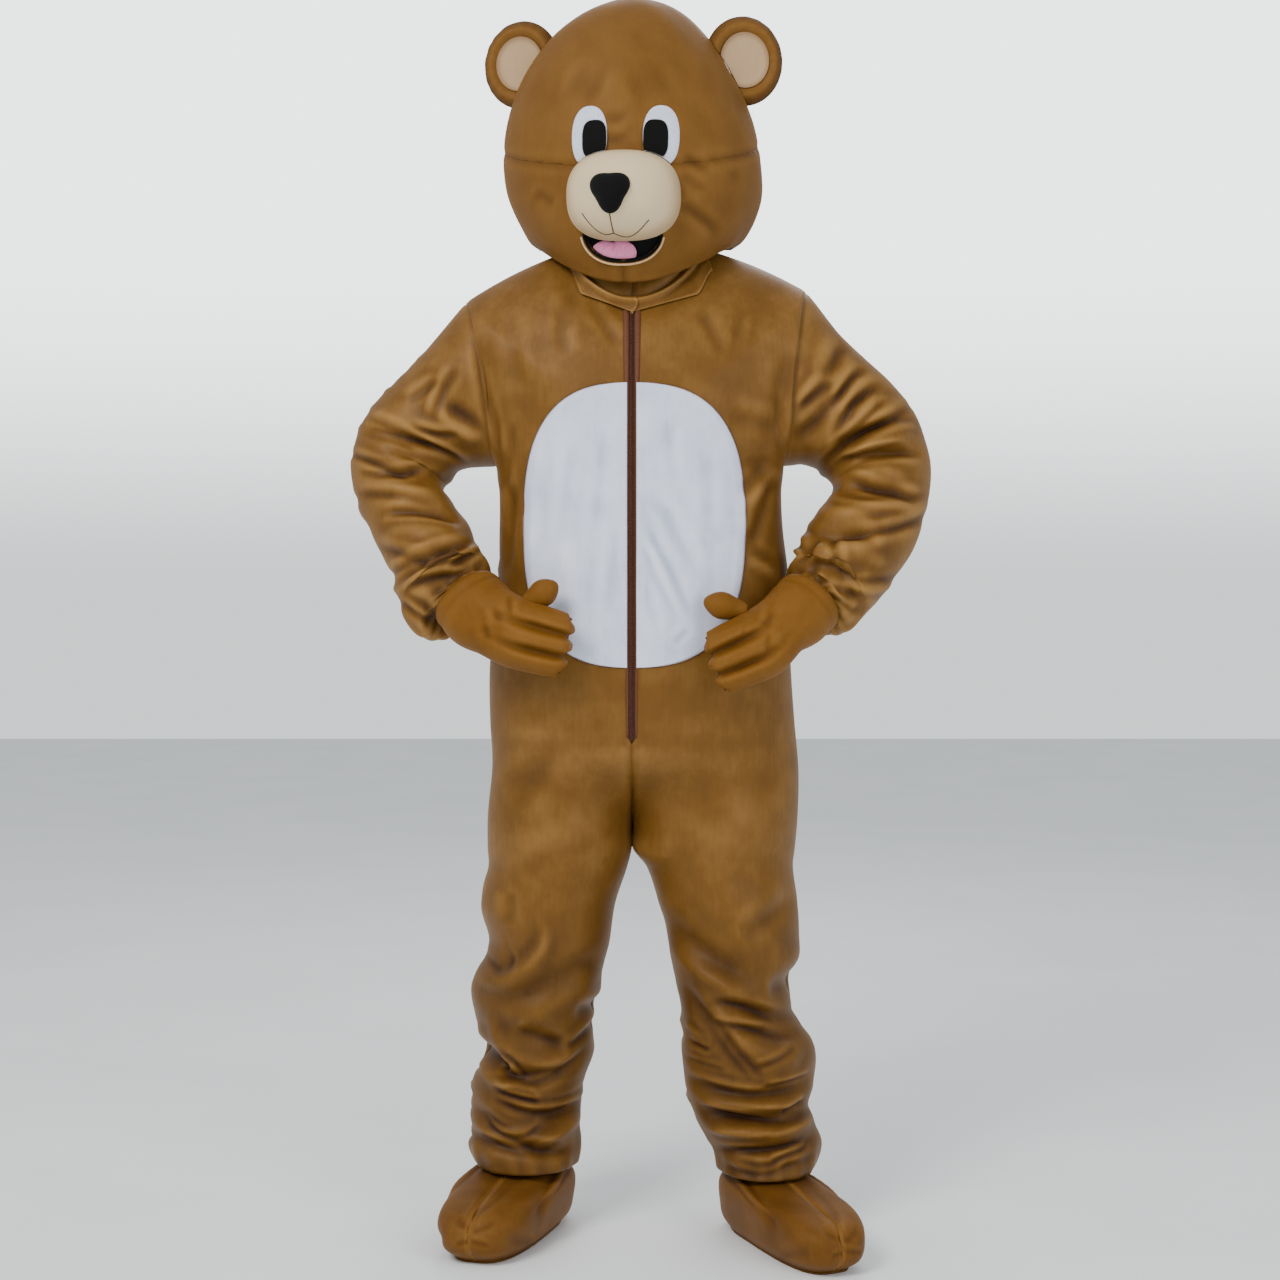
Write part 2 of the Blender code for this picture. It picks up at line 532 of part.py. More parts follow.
class Sheet:
    """A piece of cloth as rows of points on its outer face."""

    def __init__(self, name, rows, thickness, slot, closed=False, side=0, folds=None):
        self.name, self.rows, self.slot = name, rows, slot
        self.thickness, self.closed, self.side = thickness, closed, side
        self.folds = folds
        self.normals = self.raw_normals()

    def neighbours(self, i, j):
        """The points before and after (i, j), down the rows and along one."""
        rows, across = self.rows, len(self.rows[0])
        up = rows[max(i - 1, 0)][j]
        down = rows[min(i + 1, len(rows) - 1)][j]
        if self.closed:
            return up, down, rows[i][j - 1], rows[i][(j + 1) % across]
        return up, down, rows[i][max(j - 1, 0)], rows[i][min(j + 1, across - 1)]

    def raw_normals(self):
        """Unit normals that point away from the middles of the rows."""
        normals, outward = [], 0.0
        for i, row in enumerate(self.rows):
            middle = sum(row, Vector()) / len(row)
            normals.append([])
            for j, point in enumerate(row):
                up, down, before, after = self.neighbours(i, j)
                normal = (down - up).cross(after - before).normalized()
                outward += normal.dot(point - middle)
                normals[-1].append(normal)
        if outward < 0:
            normals = [[-n for n in row] for row in normals]
        return normals

    def press(self):
        """Presses the folds in, those in front and those behind, by where it faces."""
        if not self.folds:
            return
        name = "left" if "left" in self.name else "right"
        front, back = (self.folds[name, face] for face in ("front", "back"))
        for row, normals in zip(self.rows, self.normals):
            for point, normal in zip(row, normals):
                place = point.x * SIDES[name], point.z
                ahead = smooth((0.35 - normal.y) / 0.5)
                behind = smooth((0.35 + normal.y) / 0.5)
                push = ahead * fold_push(front, *place) + behind * fold_push(back, *place)
                point += normal * push
        self.normals = self.raw_normals()

    def point(self, i, j, depth):
        """The wall's point that far under (i, j), drawn back from the open edges."""
        point = self.rows[i][j] - self.normals[i][j] * depth
        last_row, last = len(self.rows) - 1, len(self.rows[0]) - 1
        inward = []
        if i in (0, last_row):
            inward.append(self.rows[1 if i == 0 else last_row - 1][j])
        if j in (0, last) and not self.closed:
            inward.append(self.rows[i][1 if j == 0 else last - 1])
        for other in inward:
            point += (other - self.rows[i][j]).normalized() * SEAM_GAP / 2
        if self.side:
            point.x = self.side * max(self.side * point.x, SEAM_GAP / 2)
        return point

    def fill(self, bm):
        across = len(self.rows[0])
        outer, inner = (
            [
                [bm.verts.new(self.point(i, j, depth)) for j in range(across)]
                for i in range(len(self.rows))
            ]
            for depth in (0.0, self.thickness)
        )
        turns = across if self.closed else across - 1
        for i in range(len(self.rows) - 1):
            for j in range(turns):
                k = (j + 1) % across
                for layer in (outer, inner):
                    a, b, c, d = layer[i][j], layer[i + 1][j], layer[i + 1][k], layer[i][k]
                    bm.faces.new((a, b, c, d))
        for i in (0, len(self.rows) - 1):
            for j in range(turns):
                k = (j + 1) % across
                self.rim(bm, outer, inner, (i, j), (i, k))
        if self.closed:
            return
        for j in (0, across - 1):
            for i in range(len(self.rows) - 1):
                self.rim(bm, outer, inner, (i, j), (i + 1, j))

    def rim(self, bm, outer, inner, one, other):
        """Closes the wall's edge between two places, always split from the higher one,
        so that two pieces that meet there are split alike."""
        (i, j), (m, n) = sorted((one, other), key=lambda at: -self.rows[at[0]][at[1]].z)
        bm.faces.new((outer[i][j], outer[m][n], inner[m][n]))
        bm.faces.new((outer[i][j], inner[m][n], inner[i][j]))


def share_normals(sheets):
    """Gives points that pieces share at a seam one normal, so the walls meet flush."""
    sums = {}
    for sheet in sheets:
        for row, normals in zip(sheet.rows, sheet.normals):
            for point, normal in zip(row, normals):
                key = tuple(round(x, 5) for x in point)
                sums[key] = sums.get(key, Vector()) + normal
    for sheet in sheets:
        for i, (row, normals) in enumerate(zip(sheet.rows, sheet.normals)):
            for j, point in enumerate(row):
                shared = sums[tuple(round(x, 5) for x in point)]
                if shared.length > 0.25:
                    normals[j] = shared.normalized()
                elif j in (0, len(row) - 1):
                    inner = sheet.rows[max(i - 1, 1)][min(max(j, 1), len(row) - 2)]
                    normals[j] = (row[j] - inner).normalized()


def add_sheets(sheets, parent):
    share_normals(sheets)
    for sheet in sheets:
        sheet.press()
    share_normals(sheets)
    for sheet in sheets:
        mesh = mesh_from(sheet.name, sheet.fill)
        add_object(sheet.name, mesh, sheet.slot, parent)


# ------------------------------------------------------------------------- the suit


def armhole(part, face, side):
    """The armhole's edge: part runs 0 to 1 from the shoulder tip to the armpit."""
    _, tip, middle, foot = SHOULDERS[side]
    turn = math.pi * part
    bulge = middle - (tip.x + foot) / 2
    x = lerp(tip.x, foot, part) + bulge * math.sin(turn)
    z = lerp(tip.z, ARMPIT, (1 - math.cos(turn)) / 2)
    section = BODY.at(ARMPIT)
    armpit = (section["back"] - section["front"]) / 2
    y = lerp(tip.y, armpit, part) + face * ARMHOLE_DEPTH * math.sin(turn)
    return Vector((x, y, z))


def panel_edge(v, face, side):
    """The outer edge of a panel: shoulder seam to 1, armhole to 2, then side seam."""
    neck, tip, _, foot = SHOULDERS[side]
    if v <= 1:
        arch = Vector((0, 0, SHOULDER_CROWN * math.sin(math.pi * v)))
        return neck.lerp(tip, v) + arch
    if v <= 2:
        return armhole(v - 1, face, side)
    height = lerp(ARMPIT, CROTCH, v - 2)
    section = BODY.at(height)
    width = lerp(section[side], foot, smooth((2.35 - v) / 0.35))
    return Vector((width, (section["back"] - section["front"]) / 2, height))


def centre_height(v, face):
    neck = NECK_FRONT if face < 0 else NECK_BACK
    if v <= 2:
        return lerp(neck, ARMPIT, v / 2)
    return lerp(ARMPIT, CROTCH, v - 2)


def body_point(v, u, face, side):
    """A point of the suit above the crotch, u from the centre to the outer edge."""
    edge = panel_edge(v, face, side)
    height = centre_height(v, face)
    in_slot = face < 0 and height > ZIP_BOTTOM + ZIP_END / 2
    start = ZIP_SLOT if in_slot else 0.0
    turn = math.pi / 2 * u
    sine, cosine = math.sin(turn) ** 0.92, max(math.cos(turn), 0.0) ** 0.88
    z = lerp(height, edge.z, sine**2)
    below = smooth((v - CHEST_TOP) / (CHEST_FOOT - CHEST_TOP))
    section = BODY.at(lerp(height, z, below))
    depth = -section["front"] if face < 0 else section["back"]
    free = below * (1 - smooth((u - CHEST_WIDTH) / (1 - CHEST_WIDTH)))
    x = lerp(start, lerp(edge.x, section[side], free), sine)
    seam = (section["back"] - section["front"]) / 2
    return Vector((x, lerp(lerp(edge.y, seam, free), depth, cosine), z))


def leg_ring(height, facing, side):
    """A point round one leg, facing in degrees from the inseam by way of the front."""
    section = LEGS[side].at(height)
    turn = math.radians(facing)
    centre = (section["outer"] + section["inner"]) / 2
    half = (section["outer"] - section["inner"]) / 2
    seam = (section["back"] - section["front"]) / 2
    depth = (section["back"] + section["front"]) / 2
    return Vector(
        (centre - math.cos(turn) * half, seam - math.sin(turn) * depth, height)
    )


def suit_point(v, u, face, side):
    """A point of the suit: v is 0 at the neck, 2 at the armpit, 3 at the crotch and 4
    at the hem; u is 0 at the centre or inseam and 1 at the shoulder or side seam."""
    facing = 180 * u if face < 0 else 360 - 180 * u
    if v < 3:
        height = lerp(ARMPIT, CROTCH, v - 2)
        parted = smooth((CROTCH + CLEFT_RISE - height) / CLEFT_RISE)
        point = body_point(v, u, face, side)
        if parted > 0:
            point = point.lerp(leg_ring(height, facing, side), parted)
        return point
    height = lerp(CROTCH, HEM, v - 3)
    point = leg_ring(height, facing, side)
    back = max(-math.sin(math.radians(facing)), 0)
    point.z -= HEM_DROP * smooth(v - 3) * back
    return point


def panel_rows():
    zip_end = 2 + (ARMPIT - ZIP_BOTTOM) / (ARMPIT - CROTCH)
    zip_foot = zip_end - ZIP_END / (ARMPIT - CROTCH)
    shin = 3 + (CROTCH - SHIN_TOP) / (CROTCH - HEM)
    rows = steps(0, 1, SHOULDER_ROWS)
    rows += steps(1, 2, ARMHOLE_ROWS)[1:]
    rows += steps(2, zip_foot, BODY_ROWS)[1:]
    rows += steps(zip_end, 3, SEAT_ROWS)
    rows += steps(3, shin, THIGH_ROWS)[1:]
    return rows + steps(shin, 4, SHIN_ROWS)[1:]


def mirrored(rows, side):
    return [[Vector((p.x * SIDES[side], p.y, p.z)) for p in row] for row in rows]


def suit_panel(name, face, side):
    rows = [
        [suit_point(v, u, face, side) for u in steps(0, 1, PANEL_ACROSS)]
        for v in panel_rows()
    ]
    rows = mirrored(rows, side)
    return Sheet(name, rows, PLUSH, "plush", side=SIDES[side], folds=SUIT_FOLDS)


def sleeve_ring(along, facing, side):
    """A point round the sleeve, facing in degrees from outward by way of the front."""
    table = ARMS[side]
    near, here, far = (
        table.at(min(max(along + step, 0), 1)) for step in (-SLEEVE_TREND, 0, SLEEVE_TREND)
    )
    middles = [
        Vector((at["outer_x"] + at["inner_x"], 2 * at["y"], at["outer_z"] + at["inner_z"])) / 2
        for at in (near, here, far)
    ]
    run = middles[2] - middles[0]
    out = Vector((here["outer_x"], here["y"], here["outer_z"])) - middles[1]
    front = run.cross(out).normalized() * here["depth"]
    turn = math.radians(facing)
    point = middles[1] + out * math.cos(turn) + front * math.sin(turn)
    part, face = facing / 180, -1
    if facing > 180:
        part, face = 2 - facing / 180, 1
    return armhole(part, face, side).lerp(point, smooth(2 * along / ELBOW))


def sleeve(side):
    turns = [360 * k / (2 * ARMHOLE_ROWS) for k in range(2 * ARMHOLE_ROWS)]
    places = steps(0, ELBOW, UPPER_ARM_ROWS) + steps(ELBOW, 1, FOREARM_ROWS)[1:]
    rows = [[sleeve_ring(along, facing, side) for facing in turns] for along in places]
    rows = mirrored(rows, side)
    return Sheet(f"sleeve_{side}", rows, PLUSH, "plush", closed=True, folds=SLEEVE_FOLDS)


def collar(side):
    """Half of the stand collar, from the centre front to the centre back."""
    front = [body_point(0, u, -1, side) for u in steps(0, 1, PANEL_ACROSS)]
    back = [body_point(0, u, 1, side) for u in steps(1, 0, PANEL_ACROSS)][1:]
    base = front + back
    base[0].x = 0
    rows = []
    for rise in steps(1, 0, 2):
        row = []
        for point in base:
            lean = Vector((-point.x, -point.y, 0)).normalized() * COLLAR_LEAN * rise
            row.append(point + lean + Vector((0, 0, COLLAR_RISE * rise)))
        rows.append(row)
    rows = mirrored(rows, side)
    return Sheet(f"collar_{side}", rows, PLUSH, "plush", side=SIDES[side])


def belly_edge_mesh(side):
    """A block with the outline of one half of the belly, to cut it from a strip."""
    reach = BELLY[side]

    def build(bm):
        ring = []
        for turn in steps(-90, 90, 26):
            angle = math.radians(turn)
            rise = BELLY["up"] if turn > 0 else BELLY["down"]
            x = reach * power(math.cos(angle), 2 / BELLY["square"])
            z = BELLY["centre"] + rise * power(math.sin(angle), 2 / BELLY["square"])
            ring.append(bm.verts.new((x * SIDES[side], -0.30, z)))
        block = bmesh.ops.extrude_face_region(bm, geom=[bm.faces.new(ring)])
        moved = [v for v in block["geom"] if isinstance(v, bmesh.types.BMVert)]
        bmesh.ops.translate(bm, verts=moved, vec=(0, 0.30, 0))

    return mesh_from(f"belly_edge_{side}", build)


def belly(panel, side):
    """One half of the pale belly: the front panel's points moved out, between rows
    above and below it."""
    low, high = BELLY["centre"] - BELLY["down"], BELLY["centre"] + BELLY["up"]
    heights = [row[0].z for row in panel.rows]
    first = max(i for i, z in enumerate(heights) if z > high)
    last = min(i for i, z in enumerate(heights) if z < low)
    rows = [
        [p + n * (LAY_GAP + FELT) for p, n in zip(row, normals)]
        for row, normals in zip(panel.rows[first : last + 1], panel.normals[first : last + 1])
    ]
    rows = [row[: PANEL_ACROSS - 1] for row in rows]
    return Sheet(f"belly_{side}", rows, FELT, "belly_plush")


def zip_rows(top, low, x_from, x_to, depth):
    """Rows of points along the panels' centre line, at the panels' own heights."""
    heights = [centre_height(v, -1) for v in panel_rows() if v <= 3]
    rows = []
    for height in [top, *(h for h in heights if low < h < top - ZIP_END)]:
        parted = smooth((CROTCH + CLEFT_RISE - height) / CLEFT_RISE)
        y = lerp(-BODY.at(height)["front"], leg_ring(height, 0, "left").y, parted) + depth
        if height < ZIP_BOTTOM + ZIP_END / 2:
            y += ZIP_FOOT
        rows.append([Vector((x_from, y, height)), Vector((x_to, y, height))])
    return rows


class Strip(Sheet):
    """A flat strip that faces the front, such as a zip's tape."""

    def raw_normals(self):
        return [[Vector((0, -1, 0)) for _ in row] for row in self.rows]


def zip_sheets():
    made = []
    for side, sign in SIDES.items():
        low = ZIP_BOTTOM - SEAM_GAP
        rows = zip_rows(NECK_FRONT, low, 0, ZIP_TAPE * sign, PLUSH + LAY_GAP)
        made.append(Strip(f"zip_tape_{side}", rows, 0.001, "zip_tape", side=sign))
    top = NECK_FRONT - SLIDER - LAY_GAP
    rows = zip_rows(top, ZIP_BOTTOM + SEAM_GAP, -ZIP_COIL, ZIP_COIL, 0.0006)
    made.append(Strip("zip_coil", rows, 0.0017, "zip_coil"))
    slider = rows[0][0].y - 0.0024
    heights = (NECK_FRONT - LAY_GAP, NECK_FRONT - SLIDER)
    rows = [[Vector((x, slider, h)) for x in (-SLIDER_HALF, SLIDER_HALF)] for h in heights]
    made.append(Strip("zip_slider", rows, 0.0040, "zip_metal"))
    return made


def make_suit(parent):
    fronts = {side: suit_panel(f"suit_front_{side}", -1, side) for side in SIDES}
    sheets = list(fronts.values())
    for side in SIDES:
        sheets += [suit_panel(f"suit_back_{side}", 1, side), sleeve(side), collar(side)]
    add_sheets(sheets, parent)
    for side, panel in fronts.items():
        strip = belly(panel, side)
        add_object(strip.name, mesh_from(strip.name, strip.fill), strip.slot, parent)
        edge = add_cutter(f"belly_edge_{side}", belly_edge_mesh(side), parent)
        boolean(bpy.data.objects[strip.name], edge, "INTERSECT")
    add_sheets(zip_sheets(), parent)


# ----------------------------------------------------------------------- the mittens


def mitten_frame(along, side):
    table = MITTENS[side]
    here = table.at(along)
    near, far = table.at(max(along - 0.03, 0)), table.at(min(along + 0.03, 1))
    run = Vector([far[axis] - near[axis] for axis in "xyz"]).normalized()
    front = Vector((0, -1, 0))
    front = (front - run * front.dot(run)).normalized()
    return here, Vector((here["x"], here["y"], here["z"])), front, front.cross(run)


def mitten_point(along, breadth, face, side):
    """A point of the mitten: breadth is 1 at its upper seam and -1 at its lower one, and
    face is 1 on the back of the hand and -1 on the palm."""
    here, centre, front, up = mitten_frame(along, side)
    line = abs(math.sin(1.5 * math.pi * breadth)) ** 4 * (1 - abs(breadth) ** 6)
    crown = math.sqrt(max(1 - abs(breadth) ** 2.2, 0.0))
    body = face * crown * here["thickness"]
    if face > 0:
        body *= 1 - here["lobes"] * line
    run = front.cross(up)
    tip = smooth((along - 0.85) / 0.15) * FINGER_NOTCH * (line + abs(breadth) ** 4)
    return centre + up * breadth * here["breadth"] + front * body + run * tip


# Places along a mitten and across it, with points on the lines between the fingers and
# on the fingers' own middles.
MITTEN_ALONG = (0, 0.15, 0.30, 0.45, 0.58, 0.70, 0.81, 0.90, 0.96, 1.0)
MITTEN_BREADTHS = (1, 0.92, 0.667, 0.45, 0.333, 0.20, 0)


def mitten_breadths():
    return list(MITTEN_BREADTHS) + [-b for b in MITTEN_BREADTHS[-2::-1]]


def mitten_half(side, name, face):
    rows = [
        [mitten_point(along, breadth, face, side) for breadth in mitten_breadths()]
        for along in MITTEN_ALONG
    ]
    return Sheet(name, mirrored(rows, side), PLUSH, "plush")


def thumb_rings(side, offset):
    """Rings round the thumb, offset outward, from inside the mitten to its tip."""
    root, tip = THUMBS[side]
    run = (tip - root).normalized()
    front = Vector((0, -1, 0))
    front = (front - run * front.dot(run)).normalized()
    up = front.cross(run)
    radius = THUMB_RADIUS + offset
    length = (tip - root).length - THUMB_RADIUS
    rows = []
    for share in (0.0, 0.5, 1.0):
        rows.append((root + run * length * share, radius * lerp(0.9, 1.0, share)))
    for turn in (30, 55, 78):
        angle = math.radians(turn)
        centre = root + run * (length + radius * math.sin(angle))
        rows.append((centre, radius * math.cos(angle)))
    return [
        [
            centre + (front * math.sin(math.tau * k / 10) + up * math.cos(math.tau * k / 10)) * size
            for k in range(10)
        ]
        for centre, size in rows
    ]


def thumb_mesh(side, offset, wall):
    """The thumb: hollow and open at its root, or filled if it has no wall."""

    def build(bm):
        layers = []
        for depth in (0, wall) if wall else (0,):
            rings = mirrored(thumb_rings(side, offset - depth), side)
            ring_verts = [[bm.verts.new(p) for p in ring] for ring in rings]
            for low, high in zip(ring_verts, ring_verts[1:]):
                for k in range(len(low)):
                    m = (k + 1) % len(low)
                    bm.faces.new((low[k], low[m], high[m], high[k]))
            bm.faces.new(ring_verts[-1])
            layers.append(ring_verts[0])
        if not wall:
            bm.faces.new(layers[0])
            return
        outer, inner = layers
        for k in range(len(outer)):
            m = (k + 1) % len(outer)
            bm.faces.new((outer[k], outer[m], inner[m], inner[k]))

    return mesh_from(f"thumb_{side}", build)


def add_cutter(name, mesh, parent):
    cutter = bpy.data.objects.new(name, mesh)
    bpy.context.scene.collection.objects.link(cutter)
    cutter.parent = parent
    cutter.hide_render = True
    cutter.display_type = "WIRE"
    return cutter


def boolean(target, cutter, operation):
    modifier = target.modifiers.new(operation.title(), "BOOLEAN")
    modifier.operation = operation
    modifier.object = cutter


def mitten_form_mesh(side):
    """The mitten's filled outer form, grown a little, to trim the thumb against."""

    def build(bm):
        rings = []
        for along in MITTEN_ALONG:
            centre = mitten_frame(along, side)[1]
            loop = [(1, b) for b in mitten_breadths()]
            loop += [(-1, b) for b in mitten_breadths()[-2:0:-1]]
            ring = []
            for face, breadth in loop:
                point = mitten_point(along, breadth, face, side)
                ring.append(point + (point - centre).normalized() * LAY_GAP)
            rings.append(ring)
        verts = [[bm.verts.new(p) for p in ring] for ring in mirrored(rings, side)]
        for low, high in zip(verts, verts[1:]):
            for k in range(len(low)):
                m = (k + 1) % len(low)
                bm.faces.new((low[k], low[m], high[m], high[k]))
        bm.faces.new(verts[0])
        bm.faces.new(verts[-1])

    return mesh_from(f"mitten_form_{side}", build)


def make_mittens(parent):
    for side in SIDES:
        back = mitten_half(side, f"mitten_{side}_back", 1)
        palm = mitten_half(side, f"mitten_{side}_palm", -1)
        add_sheets([back, palm], parent)
        form = add_cutter(f"mitten_form_{side}", mitten_form_mesh(side), parent)
        thumb = add_object(f"mitten_{side}_thumb", thumb_mesh(side, 0, PLUSH), "plush", parent)
        boolean(thumb, form, "DIFFERENCE")
        hole = add_cutter(f"thumb_hole_{side}", thumb_mesh(side, -PLUSH, 0), parent)
        for piece in (back, palm):
            boolean(bpy.data.objects[piece.name], hole, "DIFFERENCE")


# ------------------------------------------------------------------- the shoe covers


def shoe_point(height, turn, side):
    """A point of the shoe cover before it is turned: 0 is the toe, 180 the heel."""
    section = SHOE.at(height)
    breadth, length = SHOE_SPREAD[side]
    angle = math.radians(turn)
    cosine, sine = math.cos(angle), math.sin(angle)
    if cosine > 0:
        y, x = -section["toe"] * cosine ** TOE_BLUNTNESS[side], sine**0.62
    else:
        y, x = section["heel"] * -cosine, sine**0.85
    waist = lerp(*SHOE_WAIST, (cosine + 1) / 2)
    return Vector((x * section["half"] * waist * breadth, y * length, height))


def make_shoes(parent):
    for side, sign in SIDES.items():
        place = Matrix.Translation(ANKLES[side]) @ Matrix.Rotation(FOOT_YAW[side], 4, "Z")
        sheets = []
        for half, facing in (("outer", sign), ("inner", -sign)):
            rows = []
            for height in SHOE_HEIGHTS:
                row = [shoe_point(height, turn, side) for turn in steps(0, 180, SHOE_AROUND)]
                rows.append([place @ Vector((p.x * facing, p.y, p.z)) for p in row])
            sheets.append(Sheet(f"shoe_{side}_{half}", rows, SHOE_WALL, "plush"))
        add_sheets(sheets, parent)
        turns = steps(0, 180, SHOE_AROUND)
        outline = [shoe_point(SHOE_HEIGHTS[0], turn, side) for turn in turns]
        outline += [Vector((-p.x, p.y, p.z)) for p in outline[-2:0:-1]]

        def build(bm, outline=outline, place=place):
            base = [bm.verts.new(place @ Vector((p.x, p.y, 0))) for p in outline]
            plate = bmesh.ops.extrude_face_region(bm, geom=[bm.faces.new(base)])
            raised = [v for v in plate["geom"] if isinstance(v, bmesh.types.BMVert)]
            bmesh.ops.translate(bm, verts=raised, vec=(0, 0, SOLE))

        add_object(f"shoe_{side}_sole", mesh_from("sole", build), "plush", parent)


# ------------------------------------------------------------------------- the head


def head_point(step, facing, offset=0.0):
    """A point of the head: step 0 is the crown, facing is in degrees from the front."""
    section = HEAD.at(step)
    turn = math.radians(facing)
    sine, cosine = math.sin(turn), math.cos(turn)
    depth = section["front"] if cosine > 0 else section["back"]
    x = section["lean"] + sine * section["half"]
    raised = section["sides"] * sine**2 + section["rear"] * min(cosine, 0) ** 2
    point = Vector((x, -cosine * depth, section["height"] + raised))
    if not offset:
        return point
    if step < 0.02:
        return point + Vector((0, 0, offset))
    near = head_point(max(step - 0.05, 0), facing)
    far = head_point(min(step + 0.05, 11), facing)
    beside = head_point(step, facing + 1) - head_point(step, facing - 1)
    return point + (far - near).cross(beside).normalized() * offset


def head_face(x, height, offset=0.0):
    """The head's front at that distance across and height, moved out by offset."""
    step = 7.0
    facing = 0.0
    for _ in range(60):
        point = head_point(step, facing)
        step = min(max(step + (point.z - height) * 12, 0.5), 11.0)
        facing = min(max(facing + (x - point.x) * 260, -85), 85)
    return head_point(step, facing, offset)


def head_shell_mesh(outer, wall):
    """The head open at the neck, with a wall, or filled if it has none."""

    def build(bm):
        rims = []
        for offset in (outer, outer - wall) if wall else (outer,):
            top = bm.verts.new(head_point(0, 0, offset))
            rings = []
            for k in range(1, HEAD_STEPS + 1):
                step = 11 * (k / HEAD_STEPS) ** 0.9
                ring = []
                for j in range(HEAD_AROUND):
                    ring.append(bm.verts.new(head_point(step, 360 * j / HEAD_AROUND, offset)))
                rings.append(ring)
            for j in range(HEAD_AROUND):
                m = (j + 1) % HEAD_AROUND
                bm.faces.new((top, rings[0][j], rings[0][m]))
                for low, high in zip(rings, rings[1:]):
                    bm.faces.new((low[j], low[m], high[m], high[j]))
            rims.append(rings[-1])
        if not wall:
            bm.faces.new(rims[0])
            return
        outer_rim, inner_rim = rims
        for j in range(HEAD_AROUND):
            m = (j + 1) % HEAD_AROUND
            bm.faces.new((outer_rim[j], outer_rim[m], inner_rim[m], inner_rim[j]))

    return mesh_from("head_form", build)


def region_mesh(name, x_from, x_to, y_from, y_to, low, high):
    """A block whose floor and roof heights are functions of depth."""

    def build(bm):
        corners = [
            bm.verts.new((x, y, height(y)))
            for height in (low, high)
            for x, y in ((x_from, y_from), (x_to, y_from), (x_to, y_to), (x_from, y_to))
        ]
        bmesh.ops.convex_hull(bm, input=corners)

    return mesh_from(name, build)


def cheek_seam(y):
    height, slope = CHEEK_SEAM
    return height + slope * y


def head_panels(parent):
    """The head's five panels, cut from one shell along its seams."""
    half = SEAM_GAP / 2
    below, above = (lambda y: 1.2), (lambda y: 2.0)
    regions = {
        "head_brow": (-0.4, 0.4, -0.4, CROWN_SEAM - half, lambda y: cheek_seam(y) + half, above),
        "head_cheek_left": (half, 0.4, -0.4, CROWN_SEAM - half, below, lambda y: cheek_seam(y) - half),
        "head_cheek_right": (-0.4, -half, -0.4, CROWN_SEAM - half, below, lambda y: cheek_seam(y) - half),
        "head_back_left": (half, 0.4, CROWN_SEAM + half, 0.4, below, above),
        "head_back_right": (-0.4, -half, CROWN_SEAM + half, 0.4, below, above),
    }
    for name, bounds in regions.items():
        panel = add_object(name, head_shell_mesh(0.0, PADDED_WALL), "plush", parent)
        boolean(panel, add_cutter(f"{name}_region", region_mesh(name, *bounds), parent), "INTERSECT")


def outline_radius(shape, angle):
    """A feature's outline round its centre, as a distance."""
    half_x, half_z = shape["half"]
    square = shape["square"]
    across = abs(math.cos(angle) / half_x) ** square
    upward = abs(math.sin(angle) / half_z) ** square
    return (across + upward) ** (-1 / square)


def inside(shape, x, z, margin=0.0):
    dx, dz = x - shape["centre"][0], z - shape["centre"][1]
    reach = math.hypot(dx, dz)
    return reach < outline_radius(shape, math.atan2(dz, dx)) + margin


def shrink_until(allowed, centre, reach, angle):
    """The outline's distance at that angle, drawn in until the place is allowed."""
    while reach > 0.002:
        x = centre[0] + reach * math.cos(angle)
        if allowed(x, centre[1] + reach * math.sin(angle)):
            break
        reach -= 0.0005
    return reach


def muzzle_edge(angle):
    return outline_radius(MUZZLE, angle)


def nose_edge(angle):
    """A rounded triangle that points down."""
    return outline_radius(NOSE, angle) * (1 + NOSE_CORNERS * math.sin(3 * angle))


def mouth_edge(angle):
    return outline_radius(MOUTH, angle) + 0.005


def tongue_edge(angle):
    """Two lobes above, and the mouth's own curve below."""
    notch = TONGUE_NOTCH * math.exp(-(((angle - math.pi / 2) / 0.35) ** 2))
    reach = outline_radius(TONGUE, angle) * (1 - notch)

    def in_mouth(x, z):
        return inside(MOUTH, x, z, -0.003)

    return shrink_until(in_mouth, TONGUE["centre"], reach, angle)


def beside_muzzle(shape, sign):
    """The outline of an eye or a pupil, cut off where the muzzle covers it."""

    def seen(x, z):
        return not inside(MUZZLE, x * sign + EYES_SHIFT, z, 0.0012)

    def radius(angle):
        return shrink_until(seen, shape["centre"], outline_radius(shape, angle), angle)

    return radius


def add_pad(name, slot, parent, centre, edge, base, height, grid, rounding=0.5):
    """A padded piece on a surface. base(x, z, offset) is that surface moved out, edge is
    the outline's distance at an angle, height is how far the middle stands out, and grid
    gives the numbers of rings and spokes."""
    rings, spokes = grid

    def build(bm):
        edges = []
        for front in (1, 0):
            rows = []
            for ring in range(1, rings + 1):
                share = math.sin(math.pi / 2 * ring / rings)
                rise = height * (1 - share**2.2) ** rounding + SEAM_GAP
                row = []
                for k in range(spokes):
                    angle = math.tau * k / spokes
                    reach = edge(angle) * share
                    x = centre[0] + reach * math.cos(angle)
                    z = centre[1] + reach * math.sin(angle)
                    row.append(bm.verts.new(base(x, z, rise * front)))
                rows.append(row)
            middle = bm.verts.new(base(*centre, (height + SEAM_GAP) * front))
            for k in range(spokes):
                m = (k + 1) % spokes
                bm.faces.new((middle, rows[0][k], rows[0][m]))
                for low, high in zip(rows, rows[1:]):
                    bm.faces.new((low[k], low[m], high[m], high[k]))
            edges.append(rows[-1])
        for k in range(spokes):
            m = (k + 1) % spokes
            bm.faces.new((edges[0][k], edges[0][m], edges[1][m], edges[1][k]))

    return add_object(name, mesh_from(name, build), slot, parent)


